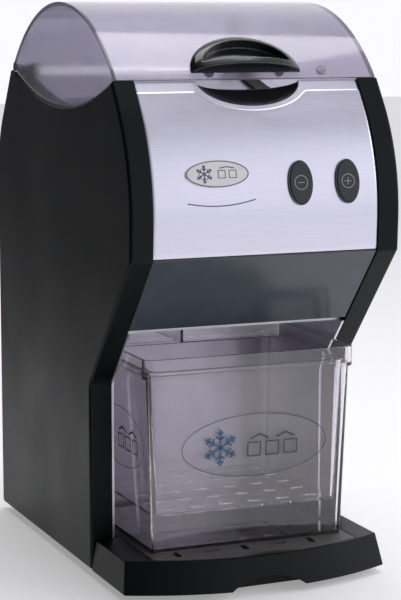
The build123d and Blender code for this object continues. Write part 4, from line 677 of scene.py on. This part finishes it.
badgeNames = {"border": "badge_border", "flake": "badge_flake", "cube": "badge_cubes"}
for drawing, outlines, ink in badgeDrawings:
    runs = [(flat(badgePlane, points), closed) for points, closed in outlines]
    line = badgeLook[drawing + "Line"]
    strokes(badgeNames[drawing], runs, line, badgeLook["lift"], "machine", ink)

# A shallow curved line under the badge: how far past the badge's ends it runs, its drop below
# the badge's middle, its sag and how much its right end rises.
underLook = {
    "left": 0.6, "right": 4.7, "below": 21.64, "sag": 3.4, "rise": 1.6, "steps": 24,
    "line": 0.9, "lift": 0.1,
}
underFrom = badgeLow.x + underLook["left"]
underTo = badgeHigh.x + underLook["right"]
underRun = []
for i in range(underLook["steps"] + 1):
    share = i / underLook["steps"]
    sag = underLook["sag"] * 4 * share * (1 - share)
    z = badgeHeight - underLook["below"] - sag + underLook["rise"] * share
    underRun.append(panelPoint(underFrom + (underTo - underFrom) * share, z))
strokes("panel_underline", [(underRun, False)], underLook["line"], underLook["lift"], "machine",
        blueInk)
print("badge and panel printed")

# The bin's walls lean out towards the top. Each print's place is along the wall from the bin's
# middle and down from its top.
binLook = {
    "lean": 5.0 / 140.5, "rim": 20, "ovalSides": 96, "ovalLine": 0.55, "flake": 15.0,
    "flakeAt": (-30.0, 0), "flakeLine": 2.2, "cube": 11, "cubesAt": (-6.0, 10.0, 26.0),
    "cubeLow": -9.0, "cubeLine": 1.6, "roofsAt": (-4.0, 19.0), "roofLow": 5.0, "roofRise": 3.5,
    "roofHalf": 8, "lift": 0.1,
}
binPrints = {
    "front": {"out": (0, -1, -binLook["lean"]), "along": 4.0, "below": 70.3, "oval": (63.0, 25.5)},
    "side": {"out": (-1, 0, -binLook["lean"]), "along": -10.0, "below": 70.3, "oval": (52.0, 24.5)},
}
binLow, binHigh = [Vector(corner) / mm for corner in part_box("ice_bin")]
binMiddle = (binLow + binHigh) / 2


def binWall(look):
    # Plane of a bin wall below its stepped rim, read from the wall's lower vertices.
    out = Vector(look["out"]).normalized()
    points = [v.co / mm for v in frame["nodes"]["ice_bin"].data.vertices]
    reach = max(p.dot(out) for p in points if p.z < binHigh.z - binLook["rim"])
    across = Vector((0, 0, 1)).cross(out).normalized()
    centre = Vector((0, 0, binHigh.z - look["below"]))
    if look["out"][0]:
        centre.y = binMiddle.y + look["along"]
    else:
        centre.x = binMiddle.x + look["along"]
    centre += out * (reach - centre.dot(out))
    return centre, across, out.cross(across), out


def binDrawing(name, runs, line, plane, ink):
    laid = [(flat(plane, points), closed) for points, closed in runs]
    strokes(name, laid, binLook[line], binLook["lift"], "bin", ink)


for wall, look in binPrints.items():
    plane = binWall(look)
    ring = oval(*look["oval"], binLook["ovalSides"])
    flake = [(run, False) for run in snowflake(binLook["flake"], binLook["flakeAt"])]
    cubes = [(square(left, binLook["cubeLow"], binLook["cube"]), True) for left in binLook["cubesAt"]]
    low, half = binLook["roofLow"], binLook["roofHalf"]
    for left in binLook["roofsAt"]:
        cubes.append(([(left, low), (left + half, low + binLook["roofRise"]), (left + 2 * half, low)], False))
    binDrawing("bin_oval_" + wall, [(ring, True)], "ovalLine", plane, charcoalInk)
    binDrawing("bin_flake_" + wall, flake, "flakeLine", plane, blueInk)
    binDrawing("bin_cubes_" + wall, cubes, "cubeLine", plane, charcoalInk)
print("bin printed")

# Metres. The floor stops short on the left, so the casing's side sees a dim room there.
stageLook = {
    "floor": "#fafafa", "glow": 0.3, "left": -0.42, "right": 6.0, "front": -6.0, "back": 8.0,
    "tint": (0.97, 0.96, 1.03), "dimFrom": -0.28, "dimTo": 0.12, "dimLevel": 0.07,
}
# Height of the view line and how bright the studio is there.
skySteps = [(0.0, 1.0), (0.3, 1.0), (0.5, 0.92), (0.72, 0.55), (0.84, 0.42), (0.92, 0.8), (1.0, 1.0)]
lampLooks = {
    "overhead_softbox": {"at": (0.15, 0.35, 1.9), "to": (0.0, 0.0, 0.4), "size": (1.5, 0.8), "power": 10.0},
    "right_softbox": {"at": (1.7, -0.9, 1.0), "to": (0.0, -0.05, 0.25), "size": (0.9, 1.1), "power": 5.0},
}


def paperFloor():
    # Seamless paper: matt, bright and even.
    left, right, front, back = [stageLook[side] for side in ("left", "right", "front", "back")]
    corners = [(left, front, 0), (right, front, 0), (right, back, 0), (left, back, 0)]
    mesh = bpy.data.meshes.new("studio_floor")
    mesh.from_pydata(corners, [], [(0, 1, 2, 3)])
    floor = bpy.data.objects.new("studio_floor", mesh)
    bpy.context.scene.collection.objects.link(floor)
    paper, shader = newMaterial("paper_seamless", Roughness=0.9, Base_Color=toLinear(stageLook["floor"]),
                                Emission_Color=(1, 1, 1, 1), Emission_Strength=stageLook["glow"])
    mesh.materials.append(paper)


def studioSky():
    world = bpy.data.worlds.new("studio_sky")
    world.use_nodes = True
    bpy.context.scene.world = world
    background = world.node_tree.nodes["Background"]
    direction = addNode(world, "TexCoord")
    parts = addNode(world, "SeparateXYZ", links={"Vector": direction.outputs["Generated"]})
    ramp = addNode(world, "ValToRGB", links={"Fac": parts.outputs["Z"]})
    bands = ramp.color_ramp.elements
    while len(bands) < len(skySteps):
        bands.new(0.5)
    for band, (place, level) in zip(bands, skySteps):
        band.position = place
        band.color = (*[level * share for share in stageLook["tint"]], 1)
    # The left of the room is dim, so the casing's side stays near black.
    fade = {
        "From Min": stageLook["dimFrom"], "From Max": stageLook["dimTo"],
        "To Min": stageLook["dimLevel"], "To Max": 1.0,
    }
    side = addNode(world, "MapRange", fade, {"Value": parts.outputs["X"]})
    world.node_tree.links.new(ramp.outputs["Color"], background.inputs["Color"])
    world.node_tree.links.new(side.outputs["Result"], background.inputs["Strength"])


def softbox(name, look):
    light = bpy.data.lights.new(name, "AREA")
    light.shape = "RECTANGLE"
    light.size, light.size_y = look["size"]
    light.energy = look["power"]
    lamp = bpy.data.objects.new(name, light)
    bpy.context.scene.collection.objects.link(lamp)
    lamp.location = look["at"]
    aim = Vector(look["to"]) - Vector(look["at"])
    lamp.rotation_euler = aim.to_track_quat("-Z", "Y").to_euler()


paperFloor()
studioSky()
for name, look in lampLooks.items():
    softbox(name, look)

# Place in millimetres, angles in degrees.
cameraPlace = {"at": (-620.44, -1519.37, 454.66), "yaw": 22.61, "pitch": 8.4, "lens": 116.5, "sensor": 36}


def placeCamera():
    camera = bpy.data.cameras.new("camera")
    camera.lens = cameraPlace["lens"]
    camera.sensor_width = cameraPlace["sensor"]
    holder = bpy.data.objects.new("camera", camera)
    bpy.context.scene.collection.objects.link(holder)
    holder.location = Vector(cameraPlace["at"]) * mm
    holder.rotation_euler = (math.radians(90 - cameraPlace["pitch"]), 0, -math.radians(cameraPlace["yaw"]))
    bpy.context.scene.camera = holder


placeCamera()
# Light passes many clear walls in the lid, bin and basket before it leaves them.
bounceLook = {
    "max_bounces": 24, "transmission_bounces": 24, "transparent_max_bounces": 24,
    "glossy_bounces": 8,
}
scene = bpy.context.scene
scene.view_settings.view_transform = "Standard"
for kind, count in bounceLook.items():
    setattr(scene.cycles, kind, count)
print("studio ready")
